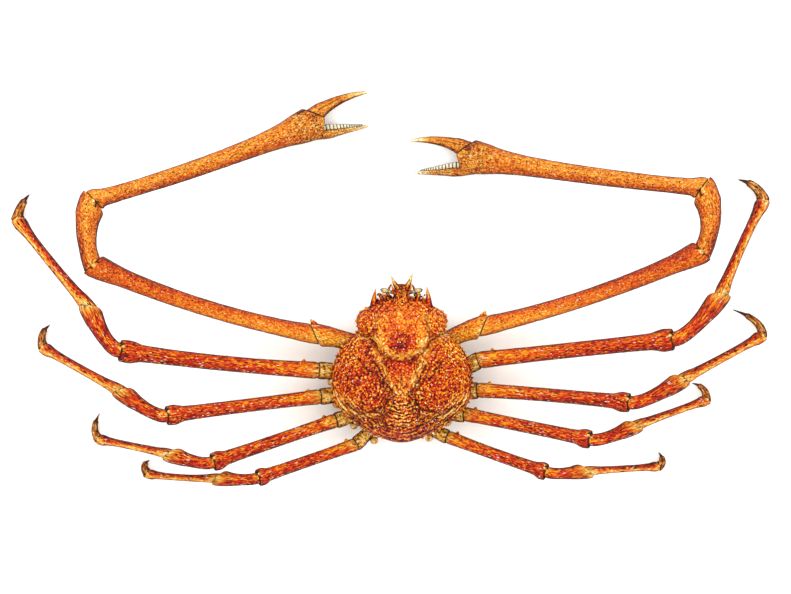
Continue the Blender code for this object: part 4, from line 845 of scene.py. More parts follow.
def toothRow(name, finger, form, teeth, towards, finish, slotName, node):
    # square-sided molars with flattened crowns, set close along a finger
    bm = bmesh.new()
    for place, halfLong, halfWide, height in teeth:
        along = bendTangent(finger, place)
        out = unit(towards - along * np.dot(towards, along))
        half = float(sizeAt(form, place))
        foot = bendPoint(finger, place) + out * (half * 0.5)
        tall = height + half * 0.5
        turn = Matrix((np.cross(out, along), along, out)).transposed().to_4x4()
        size = Matrix.Diagonal((2 * halfWide, 2 * halfLong, tall, 1.0))
        made = bmesh.ops.create_cube(bm, size=1.0, matrix=Matrix.Translation(Vector(foot + out * tall / 2))
                                     @ turn @ size)
        edges = list({edge for vert in made["verts"] for edge in vert.link_edges})
        bmesh.ops.bevel(bm, geom=edges, offset=halfLong * 0.36, offset_type="OFFSET", segments=2, profile=0.5,
                        affect="EDGES", material=-1, clamp_overlap=True)
    return dress(meshObject(name, bm), finish, slotName, node)


def clippedCore(core, place, normals):
    # the palm's core, cut off past the planes through the place
    bm = bmesh.new()
    bm.from_mesh(core.data)
    bpy.data.objects.remove(core)
    for normal in normals:
        cut = bmesh.ops.bisect_plane(bm, geom=bm.verts[:] + bm.edges[:] + bm.faces[:], plane_co=place,
                                     plane_no=normal, clear_outer=True)
        edges = [item for item in cut["geom_cut"] if isinstance(item, bmesh.types.BMEdge)]
        bmesh.ops.contextual_create(bm, geom=edges)
    return bm


def grownSkin(name, bm):
    # the closed parts in bm grown into one soft skin
    skin = meshObject(name, bm)
    remesh = skin.modifiers.new("grown", "REMESH")
    remesh.mode = "VOXEL"
    remesh.voxel_size = clawSet["skinStep"]
    graph = bpy.context.evaluated_depsgraph_get()
    grown = bpy.data.meshes.new_from_object(skin.evaluated_get(graph))
    bpy.data.objects.remove(skin)
    bm = bmesh.new()
    bm.from_mesh(grown)
    for _ in range(3):
        bmesh.ops.smooth_vert(bm, verts=bm.verts[:], factor=0.5, use_axis_x=True, use_axis_y=True,
                              use_axis_z=True)
    return bm


def handPiece(name, palm, fixed, hand, wristPlane, side, node):
    # palm and fixed finger in one skin, so that no crease shows between them
    outer = 1 if side == "left" else -1
    palmTube = tubePiece("palmCore", palm, clawSet["forms"]["palm"], 48, wristPlane, None, inner=outer)
    fingerTube = tubePiece("fingerCore", fixed, clawSet["forms"]["fixed"], 40, inner=outer, tip=True,
                           spacing=0.002)
    bm = clippedCore(palmTube, hand["origin"], (hand["normal"], hand["web"]))
    bm.from_mesh(fingerTube.data)
    bpy.data.objects.remove(fingerTube)
    bm = grownSkin(name, bm)
    bm.normal_update()
    places = np.array([vert.co for vert in bm.verts])
    normals = np.array([vert.normal for vert in bm.verts])
    length = np.linalg.norm(palm[2] - palm[0])
    palmShare = nearestShare(palm, places)
    along = palmShare * length + (places - hand["origin"]) @ hand["along"] * (palmShare == 1)
    acrossPart = (places - hand["origin"]) @ hand["across"]
    towardPlane = (places - hand["origin"]) @ hand["normal"]
    bulge = np.where((towardPlane > -gap) & (acrossPart > 0) & (acrossPart < 0.05), towardPlane + gap, 0)
    places = places - bulge[:, None] * hand["normal"]
    facing = -outer * normals @ unit(np.cross(upward, hand["along"]))
    fromWrist = np.abs((places - palm[0]) @ wristPlane)
    paint = shellPaint(clawLooks["palm"], np.clip(along / length, 0, 1), facing, normals[:, 2], fromWrist,
                       np.full(len(places), 1.0), np.full(len(places), 0.020))
    # the fixed finger: yellow-brown, with painted shade on its edges and lower side and on its inner side
    # under the teeth, and a pale tip
    fingerShare = nearestShare(fixed, places)
    away = (places - bendPoint(fixed, fingerShare)) @ hand["across"]
    fingerHalf = sizeAt(clawSet["forms"]["fixed"], fingerShare)
    isFinger = smoothStep((along - length + 0.004) / 0.010) * (np.abs(away) < 2.2 * fingerHalf)
    tipTone = 0.62 + 0.30 * smoothStep((fingerShare - 0.6) / 0.3)
    edge = smoothStep((np.abs(away) / fingerHalf - 0.55) / 0.4)
    fingerTone = tipTone - 0.34 * edge - 0.2 * smoothStep((0.5 - normals[:, 2]) / 0.5)
    paint["tone"] = paint["tone"] * (1 - isFinger) + fingerTone * isFinger
    underTeeth = isFinger * smoothStep((away / fingerHalf - 0.45) / 0.35) * smoothStep((0.93 - fingerShare)
                                                                                       / 0.05)
    ridge = np.exp(-((away / fingerHalf + 0.15) / 0.13) ** 2) * isFinger * smoothStep((0.85 - fingerShare)
                                                                                      / 0.1)
    swelling = smoothStep((along / length - 0.80) / 0.10)
    paint["pale"] = np.maximum(paint["pale"], 0.9 * isFinger * smoothStep((fingerShare - 0.6) / 0.3))
    paint["pits"] = np.array(paint["pits"]) + 0.50 * swelling
    paint["calm"] = paint["calm"] * (1 - 0.7 * swelling)
    paint["pale"] = np.maximum(paint["pale"], 0.62 * swelling)
    paint["tone"] = paint["tone"] + 0.02 * swelling + 0.10 * swelling * bumpField(places, 0.014, 2.0)
    # the joint of the movable finger: a dark line, dark ends and a raised red rim
    jointLine = (acrossPart > 0) * (acrossPart < 0.045) * (1 - smoothStep((-towardPlane - 0.0020) / 0.0016))
    redRim = (acrossPart > 0.010) * np.exp(-((towardPlane + 0.008) / 0.006) ** 2)
    paint["tone"] = paint["tone"] - 0.22 * redRim
    web = (acrossPart < 0.0) * (acrossPart > -0.021) * smoothStep(((places - hand["origin"]) @ hand["web"]
                                                                   + 0.003)
                                                                  / 0.003) * (1 - isFinger)
    paint["dark"] = np.maximum.reduce([paint["dark"], jointLine, 0.8 * underTeeth, 0.6 * ridge, 0.7 * web])
    rough = bumpField(places, 0.010) * 0.6 + bumpField(places, 0.0042, 5.0) * 0.4
    skin = np.stack([acrossPart, places[:, 2], along + outer], axis=1)
    places = places + normals * rough[:, None] * 0.0005 * (jointLine < 0.3)[:, None]
    places[:, 2] = np.maximum(places[:, 2], 0.0)
    paintPoints(bm, places, paint, skin)
    return dress(meshObject(name, bm), clawShell, "claw_shell", node)


def makeClawedLimb(side):
    ischium, elbow, wrist, gape, movableTip, fixedTip = (np.array(p, float) for p in clawSet["joints"][side])
    bows = clawSet["bows"][side]
    outer = 1 if side == "left" else -1
    root, normal = hipOf("cheliped", side)
    bends = {"coxa": baseBend(root, normal, ischium, bows[0]), "merus": bendOf(ischium, elbow, bows[1]),
             "carpus": bendOf(elbow, wrist, bows[2])}
    palm = bendOf(wrist, gape, bows[3])
    along = bendTangent(palm, 1.0)
    across = outer * unit(np.cross(upward, along))
    hand = {"origin": gape, "along": along, "across": across}
    for key, degrees in (("normal", clawSet["fingerCut"]), ("web", clawSet["webCut"])):
        hand[key] = math.cos(math.radians(degrees)) * along + math.sin(math.radians(degrees)) * across
    level = unit(bendTangent(bends["merus"], 0.0) * np.array([1, 1, 0]))
    planes = (normal, turnedLevel(level, outer * clawSet["ischiumCut"]),
              jointPlane(bends["merus"], bends["carpus"]),
              jointPlane(bends["carpus"], palm))
    for k, (part, bend) in enumerate(bends.items()):
        node = f"cheliped_{side}_{part}"
        piece = tubePiece(node + "_shell", bend, clawSet["forms"][part], clawSet["sides"], planes[k],
                          planes[k + 1],
                          gap if part == "coxa" else gap / 2, inner=outer, spacing=clawSet["spacing"],
                          waves=0.0006,
                          look=clawLooks[part])
        dress(piece, clawShell, "joint_shell" if part == "coxa" else "claw_shell", node)
    node = f"cheliped_{side}_propodus"
    fixed = bendOf(gape - along * clawSet["fixedBack"] + across * clawSet["fixedAcross"][side], fixedTip)
    handPiece(node + "_shell", palm, fixed, hand, planes[3], side, node)
    toothRow(node + "_teeth", fixed, clawSet["forms"]["fixed"], clawSet["teeth"], across, toothFinish,
             "claw_shell", node)
    # dark pieces around the teeth in the toe's horn finish, painted shade seen between them and past their
    # crowns
    between = [(place, halfLong + 0.0012, halfWide * 0.6, height + 0.0009)
               for place, halfLong, halfWide, height in clawSet["teeth"]]
    toothRow(node + "_tooth_shade_bed", fixed, clawSet["forms"]["fixed"], between, across, toeShell, "claw_shell",
             node)
    slant = math.tan(math.radians(clawSet["fingerCut"]))
    movableRoot = gape + (across - along * slant) * clawSet["movableAcross"]
    movable = bendOf(movableRoot, movableTip, outer * clawSet["movableBow"])
    node = f"cheliped_{side}_dactyl"
    palmGranules(f"cheliped_{side}", palm, outer)
    finger = tubePiece(node + "_shell", movable, clawSet["forms"]["movable"], 48, hand["normal"], None,
                       inner=outer,
                       spacing=0.0018, tip=True, look=clawLooks["finger"],
                       dents=((0.10, 0.92, 90 + outer * 46, 0.0011, 0.0009),
                              (0.04, 0.55, 90 - outer * 8, 0.0009, 0.0006)))
    dress(finger, clawShell, "claw_shell", node)
    ischiumCorner(f"cheliped_{side}", ischium, bends["coxa"], outer)
    for part in ("merus", "carpus"):
        # a hinge knob on top of elbow and wrist
        axis = bendTangent(bends[part], 1.0)
        lift = clawSet["forms"][part][-1][2] * 0.90
        centre = bendPoint(bends[part], 1.0) + unit(np.cross(axis, np.cross(upward, axis))) * lift
        roundKnob(f"cheliped_{side}_{part}_hinge", centre - axis * 0.003, clawSet["hingeReach"], hingeFinish,
                  "joint_shell", f"cheliped_{side}_{part}", axis)


def palmGranules(limb, palm, outer):
    # rows of small dark granules along the top of the palm
    granules = bmesh.new()
    form = clawSet["forms"]["palm"]
    for aside, first, last, pace in clawSet["granuleRows"]:
        count = int((last - first) * np.linalg.norm(palm[2] - palm[0]) / pace)
        turned = aside * 1.2
        for k in range(count):
            at = first + (last - first) * (k + 0.3 * math.sin(k * 2.3)) / count
            sideways = outer * unit(np.cross(upward, bendTangent(palm, at)))
            wide, deep = (float(sizeAt(form, at, column)) for column in (1, 2))
            outward = unit(sideways * math.sin(turned) * deep / wide + upward * math.cos(turned))
            spot = bendPoint(palm, at) + sideways * wide * math.sin(turned) + upward * deep * math.cos(turned)
            bluntSpike(granules, spot - outward * 0.0006, outward, *clawSet["granule"], 6)
    spikeLayer(granules, 0.02, 0.10, 0.05)
    dress(meshObject(limb + "_dactyl_granules", granules), spikeShell, "claw_shell", limb + "_propodus")


def ischiumCorner(limb, ischium, bend, outer):
    # the pointed front corner of the ischium
    ahead = bendTangent(bend, 1.0)
    front = -outer * unit(np.cross(upward, ahead))
    corner = bmesh.new()
    bluntSpike(corner, ischium + front * 0.019 + ahead * 0.003, unit(front + ahead * 0.9), *clawSet["corner"],
               12)
    spikeLayer(corner, 0.50, 0.80)
    dress(meshObject(limb + "_coxa_corner", corner), spikeShell, "joint_shell", limb + "_coxa")


for clawSide in clawSet["joints"]:
    makeClawedLimb(clawSide)
print("clawed limbs made")

# Back shell

backSet = {
    # distance ahead of the origin and half width, from the front to the rear
    "outline": ((0.188, 0.000), (0.187, 0.030), (0.182, 0.050), (0.166, 0.073), (0.156, 0.089), (0.139, 0.097),
                (0.117, 0.0935), (0.098, 0.114), (0.071, 0.134), (0.038, 0.147), (0.002, 0.149),
                (-0.032, 0.144),
                (-0.058, 0.123), (-0.084, 0.093), (-0.109, 0.049), (-0.1215, 0.000)),
    "centreY": 0.020,
    "baseZ": 0.0640,
    "rimZ": 0.078,
    "frontRise": 0.010,
    "dome": 0.060,
    # swollen regions: x, y, reach across, reach along, height
    "regions": ((0.000, 0.118, 0.052, 0.052, 0.017), (-0.082, 0.004, 0.052, 0.062, 0.015),
                (0.082, 0.004, 0.052, 0.062, 0.015), (-0.078, 0.137, 0.022, 0.022, 0.008),
                (0.078, 0.137, 0.022, 0.022, 0.008), (0.000, -0.070, 0.042, 0.036, 0.012),
                (-0.058, -0.088, 0.024, 0.018, 0.006), (0.058, -0.088, 0.024, 0.018, 0.006)),
    # grooves: depth, width, points of the right half
    "grooves": ((0.008, 0.0085, ((0.000, 0.056), (0.026, 0.060), (0.050, 0.078), (0.072, 0.106),
                                 (0.096, 0.116))),
                (0.006, 0.0075, ((0.050, 0.066), (0.030, 0.028), (0.015, -0.008))),
                (0.006, 0.0085, ((0.015, -0.010), (0.050, -0.056), (0.094, -0.060), (0.148, -0.020))),
                (0.004, 0.0065, ((0.000, -0.012), (0.016, -0.012)))),
    # fine dark furrows: strength, points of the right half
    "furrows": ((0.9, ((0.052, 0.044), (0.040, 0.020), (0.019, -0.015))),
                (0.7, ((0.060, 0.040), (0.049, 0.014), (0.028, -0.016))),
                (0.8, ((0.086, 0.054), (0.078, 0.040), (0.064, 0.026))),
                (0.7, ((0.000, 0.052), (0.022, 0.056), (0.046, 0.070), (0.066, 0.100), (0.094, 0.113))),
                (0.6, ((0.050, 0.150), (0.056, 0.128), (0.058, 0.104))),
                (0.8, ((0.012, -0.018), (0.030, -0.034), (0.044, -0.050), (0.086, -0.060), (0.128, -0.036))),
                (0.8, ((0.036, -0.050), (0.040, -0.074), (0.030, -0.096))),
                (0.7, ((0.050, -0.064), (0.090, -0.073), (0.118, -0.058))),
                (0.7, ((0.016, -0.030), (0.026, -0.052), (0.050, -0.078), (0.072, -0.092)))),
    # pale ridges: strength, width, points of the right half
    "ridges": ((0.85, 0.0066, ((0.056, 0.074), (0.040, 0.042), (0.022, 0.006), (0.010, -0.016))),
               (0.85, 0.0066, ((0.000, 0.062), (0.024, 0.068), (0.044, 0.084), (0.056, 0.106))),
               (0.80, 0.0050, ((0.050, -0.063), (0.088, -0.065), (0.120, -0.048), (0.142, -0.016))),
               (0.55, 0.0060, ((0.062, 0.086), (0.078, 0.104), (0.094, 0.108)))),
    # growth lines in rings: x, y, reach across, reach along, gap between lines
    "rings": ((0.088, 0.004, 0.058, 0.062, 0.0074), (0.000, 0.122, 0.060, 0.064, 0.0078),
              (0.080, 0.138, 0.024, 0.030, 0.0066), (0.000, -0.066, 0.040, 0.046, 0.0072),
              (0.070, 0.072, 0.032, 0.032, 0.0070), (0.000, 0.028, 0.030, 0.050, 0.0075),
              (0.066, -0.082, 0.044, 0.024, 0.0070)),
    # where warts stand close: x, y, reach across, reach along on the right half
    "domes": ((0.085, 0.008, 0.060, 0.070), (0.079, 0.137, 0.022, 0.026), (0.052, -0.086, 0.040, 0.022),
              (0.066, 0.066, 0.034, 0.034)),
    # tone: strength, x, y, reach across, reach along on both halves
    "toneSpots": ((0.08, 0.0, 0.130, 0.062, 0.052), (0.10, 0.052, 0.138, 0.010, 0.024),
                  (0.10, 0.078, 0.137, 0.026, 0.028), (0.15, 0.108, 0.080, 0.024, 0.036),
                  (0.16, 0.040, 0.098, 0.012, 0.030), (0.14, 0.0, 0.158, 0.010, 0.020),
                  (-0.20, 0.0, 0.096, 0.022, 0.019), (-0.12, 0.014, 0.154, 0.005, 0.005),
                  (0.06, 0.0, 0.036, 0.020, 0.022), (-0.10, 0.062, 0.100, 0.012, 0.022),
                  (-0.06, 0.0, -0.108, 0.055, 0.012), (-0.14, 0.058, -0.080, 0.034, 0.022),
                  (0.06, 0.134, 0.010, 0.016, 0.050)),
    "paleSpots": ((0.85, 0.0, -0.004, 0.014, 0.030), (0.50, 0.0, -0.062, 0.026, 0.030),
                  (0.34, 0.0, 0.140, 0.062, 0.040), (0.34, 0.040, 0.100, 0.010, 0.028),
                  (0.55, 0.046, -0.070, 0.012, 0.020)),
    # most places and closest spacing
    "warts": (230, 0.0088),
    "frontWarts": (26, 0.017),
    "grains": (900, 0.0044),
    "wartHeight": (0.0026, 0.0060),
    "wartRadius": (0.0024, 0.0040),
    # warts on the midline: y and height
    "midline": ((0.100, 0.0040), (0.066, 0.0030), (-0.046, 0.0045), (-0.072, 0.0055), (-0.096, 0.0045)),
    "midlineRadius": 0.0042,
    "edgeHeight": (0.0030, 0.0060),
    "edgeRadius": (0.0030, 0.0044),
    "edgeSpacing": 0.0078,
    "lobeSpacing": 0.0118,
    "lobeStart": 0.116,
    "cells": 288,
    "seed": 11,
}


def smoothOutline(points, count):
    # equal steps along a smooth closed curve through the points
    points = np.array(points)
    dense = []
    for k in range(len(points)):
        a, b, c, d = (points[(k + j) % len(points)] for j in (-1, 0, 1, 2))
        for t in np.linspace(0, 1, 12, endpoint=False):
            dense.append(0.5 * (2 * b + (c - a) * t + (2 * a - 5 * b + 4 * c - d) * t * t
                                + (3 * b - 3 * c + d - a) * t ** 3))
    dense = np.array(dense + dense[:1])
    walked = np.concatenate([[0], np.cumsum(np.linalg.norm(np.diff(dense, axis=0), axis=1))])
    wanted = np.linspace(0, walked[-1], count, endpoint=False)
    return np.stack([np.interp(wanted, walked, dense[:, i]) for i in (0, 1)], axis=1)


backOutline = smoothOutline([(half, y) for y, half in backSet["outline"]]
                            + [(-half, y) for y, half in backSet["outline"][1:-1]][::-1], 720)
outlineAngles = np.arctan2(backOutline[:, 1] - backSet["centreY"], backOutline[:, 0])
outlineReach = np.hypot(backOutline[:, 0], backOutline[:, 1] - backSet["centreY"])
outlineOrder = np.argsort(outlineAngles)


def reachAt(angle):
    return np.interp(angle, outlineAngles[outlineOrder], outlineReach[outlineOrder], period=math.tau)


def insetAt(x, y):
    angle = np.arctan2(y - backSet["centreY"], x)
    return np.hypot(x, y - backSet["centreY"]) / reachAt(angle)


def lineDistance(x, y, points):
    # distance to a line through the points, on either half of the back
    nearest = np.full(np.shape(x), 1e9)
    for start, end in zip(points, points[1:]):
        start, step = np.array(start), np.array(end) - np.array(start)
        along = ((np.abs(x) - start[0]) * step[0] + (y - start[1]) * step[1]) / (step @ step)
        along = np.clip(along, 0, 1)
        nearest = np.minimum(nearest, np.hypot(np.abs(x) - start[0] - step[0] * along,
                                               y - start[1] - step[1] * along))
    return nearest


def grooveDepth(x, y):
    deepest = np.zeros(np.shape(x))
    for depth, width, points in backSet["grooves"]:
        deepest = np.maximum(deepest, depth * np.exp(-(lineDistance(x, y, points) / width) ** 2))
    return deepest


def backHeight(x, y):
    inset = np.clip(insetAt(x, y), 0, 1)
    rim = backSet["rimZ"] + backSet["frontRise"] * smoothStep((y - 0.10) / 0.08)
    relief = -grooveDepth(x, y)
    for atX, atY, across, along, rise in backSet["regions"]:
        relief = relief + rise * np.exp(-((x - atX) / across) ** 2 - ((y - atY) / along) ** 2)
    return rim + backSet["dome"] * np.maximum(1 - inset ** 2.5, 0) ** 0.72 + relief * smoothStep((1 - inset)
                                                                                                 / 0.22)


def backNormal(x, y):
    step = 0.003
    slopeX = (backHeight(x + step, y) - backHeight(x - step, y)) / (2 * step)
    slopeY = (backHeight(x, y + step) - backHeight(x, y - step)) / (2 * step)
    return unit(np.stack([-slopeX, -slopeY, np.ones(np.shape(x))], axis=-1))


def spot(x, y, atX, atY, across, along):
    # 1 at a place on either half of the back, falling off around it
    return np.exp(-((np.abs(x) - atX) / across) ** 2 - ((y - atY) / along) ** 2)


def scatter(draw, count, spacing, test, others=()):
    # seeded places on the right half, no two closer than the spacing
    cells, found = {}, []

    def near(x, y):
        cx, cy = int(x // spacing), int(y // spacing)
        return any(math.hypot(x - ox, y - oy) < spacing for i in (-1, 0, 1) for j in (-1, 0, 1)
                   for ox, oy in cells.get((cx + i, cy + j), ()))

    for x, y in others:
        cells.setdefault((int(x // spacing), int(y // spacing)), []).append((x, y))
    for _ in range(count * 30):
        x, y = draw.uniform(0.004, 0.148), draw.uniform(-0.118, 0.186)
        if test(x, y) and not near(x, y):
            cells.setdefault((int(x // spacing), int(y // spacing)), []).append((x, y))
            found.append((x, y))
            if len(found) == count:
                break
    return found


def onDomes(x, y):
    if insetAt(x, y) > 0.93 or grooveDepth(x, y) > 0.0035:
        return False
    return any(((x - atX) / across) ** 2 + ((y - atY) / along) ** 2 < 1
               for atX, atY, across, along in backSet["domes"])


def inFront(x, y):
    return x < 0.040 and 0.070 < y < 0.175 and insetAt(x, y) < 0.85


def wartRelief(x, y, warts, grains):
    # soft swellings under warts and grains: their lift, and 1 on the top of each
    lift, knob = np.zeros((2, len(x)))
    for spots, width, rise in ((grains, 0.0019, 0.0009), (warts, 0.0042, 0.0016)):
        for gx, gy in spots:
            for sign in (-1, 1):
                near = np.flatnonzero((np.abs(x - sign * gx) < 3 * width) & (np.abs(y - gy) < 3 * width))
                bell = np.exp(-((x[near] - sign * gx) ** 2 + (y[near] - gy) ** 2) / width ** 2)
                lift[near] = np.maximum(lift[near], bell * rise)
                knob[near] = np.maximum(knob[near], bell)
    return lift, knob


def growthLines(x, y, inset):
    # rings around each swollen region, arcs at the rear, and lines along the edge on the rear flanks
    rear = smoothStep((inset - 0.70) / 0.08) * smoothStep((-0.012 - y) / 0.02)
    nearest, second, phase = np.full(len(x), 9.0), np.full(len(x), 9.0), np.zeros(len(x))
    for atX, atY, across, along, gaps in backSet["rings"]:
        away = np.hypot((np.abs(x) - atX) / across, (y - atY) / along)
        second = np.where(away < nearest, nearest, np.minimum(second, away))
        phase = np.where(away < nearest, away * min(across, along) / gaps, phase)
        nearest = np.minimum(nearest, away)
    isArc = (y < -0.034) & (np.abs(x) < 0.030) & (y > -0.094)
    phase = np.where(isArc, np.hypot(x / 1.25, y + 0.022) / 0.0072, phase)
    phase = np.where(rear > 0.5, (1 - inset) * 0.145 / 0.0074, phase)
    lines = 0.30 + 0.60 * smoothStep((nearest - 0.62) / 0.32)
    lines = lines * (1 - 0.9 * spot(x, y, 0.0, 0.145, 0.060, 0.062)) * (1 - spot(x, y, 0.0, 0.030, 0.020,
                                                                                 0.030))
    lines = np.maximum(lines, np.maximum(1.3 * isArc, 1.2 * rear * smoothStep((np.abs(x) - 0.028) / 0.02)))
    border = 0.30 * smoothStep((0.05 - (second - nearest)) / 0.03) * (nearest < 1.4) * (inset < 0.9)
    return {"phase": phase, "lines": lines}, rear, isArc, border


def seams(x, y, broad, middling, small):
    # dark furrows and pale ridges along their wavering lines
    furrow, ridge = np.zeros((2, len(x)))
    for strength, points in backSet["furrows"]:
        away = lineDistance(x + 0.0022 * middling, y + 0.0022 * small, points)
        furrow = np.maximum(furrow, strength * np.exp(-(away / 0.0024) ** 2) * smoothStep((broad + 0.9) / 0.4))
    for strength, width, points in backSet["ridges"]:
        away = lineDistance(x + 0.003 * middling, y + 0.003 * broad, points)
        ridge = np.maximum(ridge, strength * np.exp(-(away / width) ** 2))
    return furrow, ridge


def makeBackShell(warts, grains):
    # fine shell: a square grid drawn out to the outline and lifted
    bm = bmesh.new()
    cells = backSet["cells"]
    bmesh.ops.create_grid(bm, x_segments=cells, y_segments=cells, size=1.0)
    flat = np.array([vert.co for vert in bm.verts])
    u = flat[:, 0] * np.sqrt(1 - flat[:, 1] ** 2 / 2)
    v = flat[:, 1] * np.sqrt(1 - flat[:, 0] ** 2 / 2)
    inset = np.minimum(np.hypot(u, v), 1.0)
    angle = np.arctan2(v, u)
    reach = reachAt(angle) * inset
    x, y = reach * np.cos(angle), backSet["centreY"] + reach * np.sin(angle)
    z = backHeight(x, y)
    normals = backNormal(x * 0.997, backSet["centreY"] + (y - backSet["centreY"]) * 0.997)
    fade = smoothStep((1 - inset) / 0.06)
    places = np.stack([x, y, z], axis=1)
    broad, middling, small = bumpField(places, 0.020), bumpField(places, 0.011,
                                                                 3.0), bumpField(places, 0.0048, 9.0)
    lift, knob = wartRelief(x, y, warts, grains)
    paint, rear, isArc, border = growthLines(x, y, inset)
    furrow, ridge = seams(x, y, broad, middling, small)
    furrow = np.maximum(furrow, border)
    calm = 0.05 + 0.52 * spot(x, y, 0.0, 0.134, 0.050, 0.054) + 0.40 * spot(x, y, 0.0, 0.034, 0.024, 0.026)
    calm = np.maximum(calm, 0.20 * np.maximum(isArc, rear))
    calm = np.clip(calm + 0.60 * ridge, 0, 0.80)
    lift += 0.0006 * middling + 0.0004 * small - 0.0012 * furrow
    places += normals * (lift * fade)[:, None]

    # tones: red domes, orange in front, deep red behind
    tone = 0.42 + sum(strength * spot(x, y, *place) for strength, *place in backSet["toneSpots"])
    tone += 0.03 * np.sign(x) * smoothStep(np.abs(x) / 0.05) * smoothStep((y + 0.04) / 0.05)
    # lighter over warts and grains and a little darker between them: painted highlight on their tops and
    # painted shade around them
    tone += 0.14 * knob * (0.6 + 0.8 * small) - 0.05 * (1 - knob) + 0.06 * middling
    pale = np.maximum.reduce([ridge, 0.30 * rear * smoothStep((np.abs(x) - 0.05) / 0.03)]
                             + [strength * spot(x, y, *place) for strength, *place in backSet["paleSpots"]])
    pale = np.clip(pale * (0.85 + 0.5 * middling), 0, 1)
    tone = tone + pale * 0.20 + 0.06 * ridge
    # dark furrows and painted shade along the outer edge where the shell turns down; glints painted as
    # highlights, more on the pale ridges and the middle front
    dark = np.maximum(0.95 * furrow, 0.5 * smoothStep((inset - 0.972) / 0.02))
    shine = 0.04 + 0.05 * pale + 0.07 * spot(x, y, 0.0, 0.110, 0.03, 0.03)
    pits = 0.05 + 0.12 * pale + 0.05 * smoothStep((-0.03 - y) / 0.04) + 0.02 * spot(x, y, 0.0, 0.130, 0.05,
                                                                                    0.05)
    paint.update(tone=tone, dark=np.clip(dark, 0, 1), pale=pale, shine=shine, pits=pits, calm=calm)
    layers = paintPoints(bm, places, paint, places)
    # turned-under edge, painted half dark as shade, and closed base
    for share, scale in ((0.5, 0.992), (0.55, 0.975), (1.0, 0.96)):
        rim = [edge for edge in bm.edges if edge.is_boundary]
        grown = bmesh.ops.extrude_edge_only(bm, edges=rim)["geom"]
        for vert in (item for item in grown if isinstance(item, bmesh.types.BMVert)):
            vert.co.x *= scale
            vert.co.y = backSet["centreY"] + (vert.co.y - backSet["centreY"]) * scale
            vert.co.z += (backSet["baseZ"] - vert.co.z) * share
            vert[layers["dark"]] = 0.5
    rim = [edge for edge in bm.edges if edge.is_boundary]
    bmesh.ops.contextual_create(bm, geom=rim)
    dress(meshObject("carapace_shell", bm), backShell, "carapace_shell", "carapace")


def addWarts(spikes, draw, close, sparse):
    # each wart stands square to the shell under it
    for x, y in close + sparse:
        small = (x, y) in sparse
        for sign in (-1, 1):
            place = np.array(sign * x), np.array(y)
            foot = np.array([sign * x, y, float(backHeight(*place))])
            lean = np.array([draw.uniform(-0.12, 0.12), draw.uniform(-0.12, 0.12), 0.0])
            direction = unit(backNormal(*place) + lean)
            height = draw.uniform(*backSet["wartHeight"]) * (0.5 if small else 1.0)
            height *= 1 - 0.3 * smoothStep((y - 0.09) / 0.03)
            radius = draw.uniform(*backSet["wartRadius"]) * (0.75 if small else 1.0)
            bluntSpike(spikes, foot + direction * 0.0006, direction, height, radius, 7)
    for y, height in backSet["midline"]:
        place = np.array(0.0), np.array(y)
        foot = np.array([0.0, y, float(backHeight(*place))])
        bluntSpike(spikes, foot, backNormal(*place), height, backSet["midlineRadius"], 8)


def addEdgeSpines(spikes, draw):
    # short spines along the edges, blunter and wider apart on the front lobes
    centre = np.array([0, backSet["centreY"]])
    walked, before = 0.0, None
    for place in backOutline:
        if before is not None:
            walked += float(np.linalg.norm(place - before))
        before = place
        lobe = place[1] > backSet["lobeStart"]
        spacing = backSet["lobeSpacing" if lobe else "edgeSpacing"]
        if walked < spacing or not -0.112 < place[1] < 0.165 or abs(place[0]) < 0.02:
            continue
        walked = draw.uniform(-0.001, 0.0014)
        angle = math.atan2(place[1] - centre[1], place[0])
        tangent = backOutline[(np.argmin(np.abs(outlineAngles - angle)) + 3) % len(backOutline)] - place
        outward = unit(np.array([tangent[1], -tangent[0], 0.0]))
        if outward[:2] @ (place - centre) < 0:
            outward = -outward
        rim = backSet["rimZ"] + backSet["frontRise"] * float(smoothStep((place[1] - 0.10) / 0.08))
        foot = np.array([place[0], place[1], rim + draw.uniform(-0.002, 0.003)]) - outward * 0.001
        height, radius = draw.uniform(*backSet["edgeHeight"]), draw.uniform(*backSet["edgeRadius"])
        if lobe:
            height, radius = height * 0.9, radius * 1.5
        bluntSpike(spikes, foot, unit(outward + upward * 0.28), height, radius, 8)


def makeBack():
    draw = random.Random(backSet["seed"])
    close = scatter(draw, *backSet["warts"], onDomes)
    sparse = scatter(draw, *backSet["frontWarts"], inFront)
    grains = scatter(draw, *backSet["grains"], lambda x, y: insetAt(x, y) < 0.97, close)
    makeBackShell(close + sparse, grains)
    spikes = bmesh.new()
    addWarts(spikes, draw, close, sparse)
    addEdgeSpines(spikes, draw)
    spikeLayer(spikes, 0.26, 0.70, 0.40)
    dress(meshObject("carapace_tubercles", spikes), spikeShell, "carapace_shell", "carapace")


# Back shell: thick and pebbled, so its flecks are broader and rounder than on the limbs, with painted light
# and shade on the pebbles
backShell = shellFinish("varnishedBackShell", lined=True, stretch=1.0, cells=0.30, streaks=0.4, streak=0.0036,
                        fine=0.6,
                        patches=0.2, pebbles=0.80, dot=0.0050, waver=0.011, wavering=2.0, lineTone=0.22)
makeBack()
print("back shell made")

# Head: prow, horns, eyes and feelers

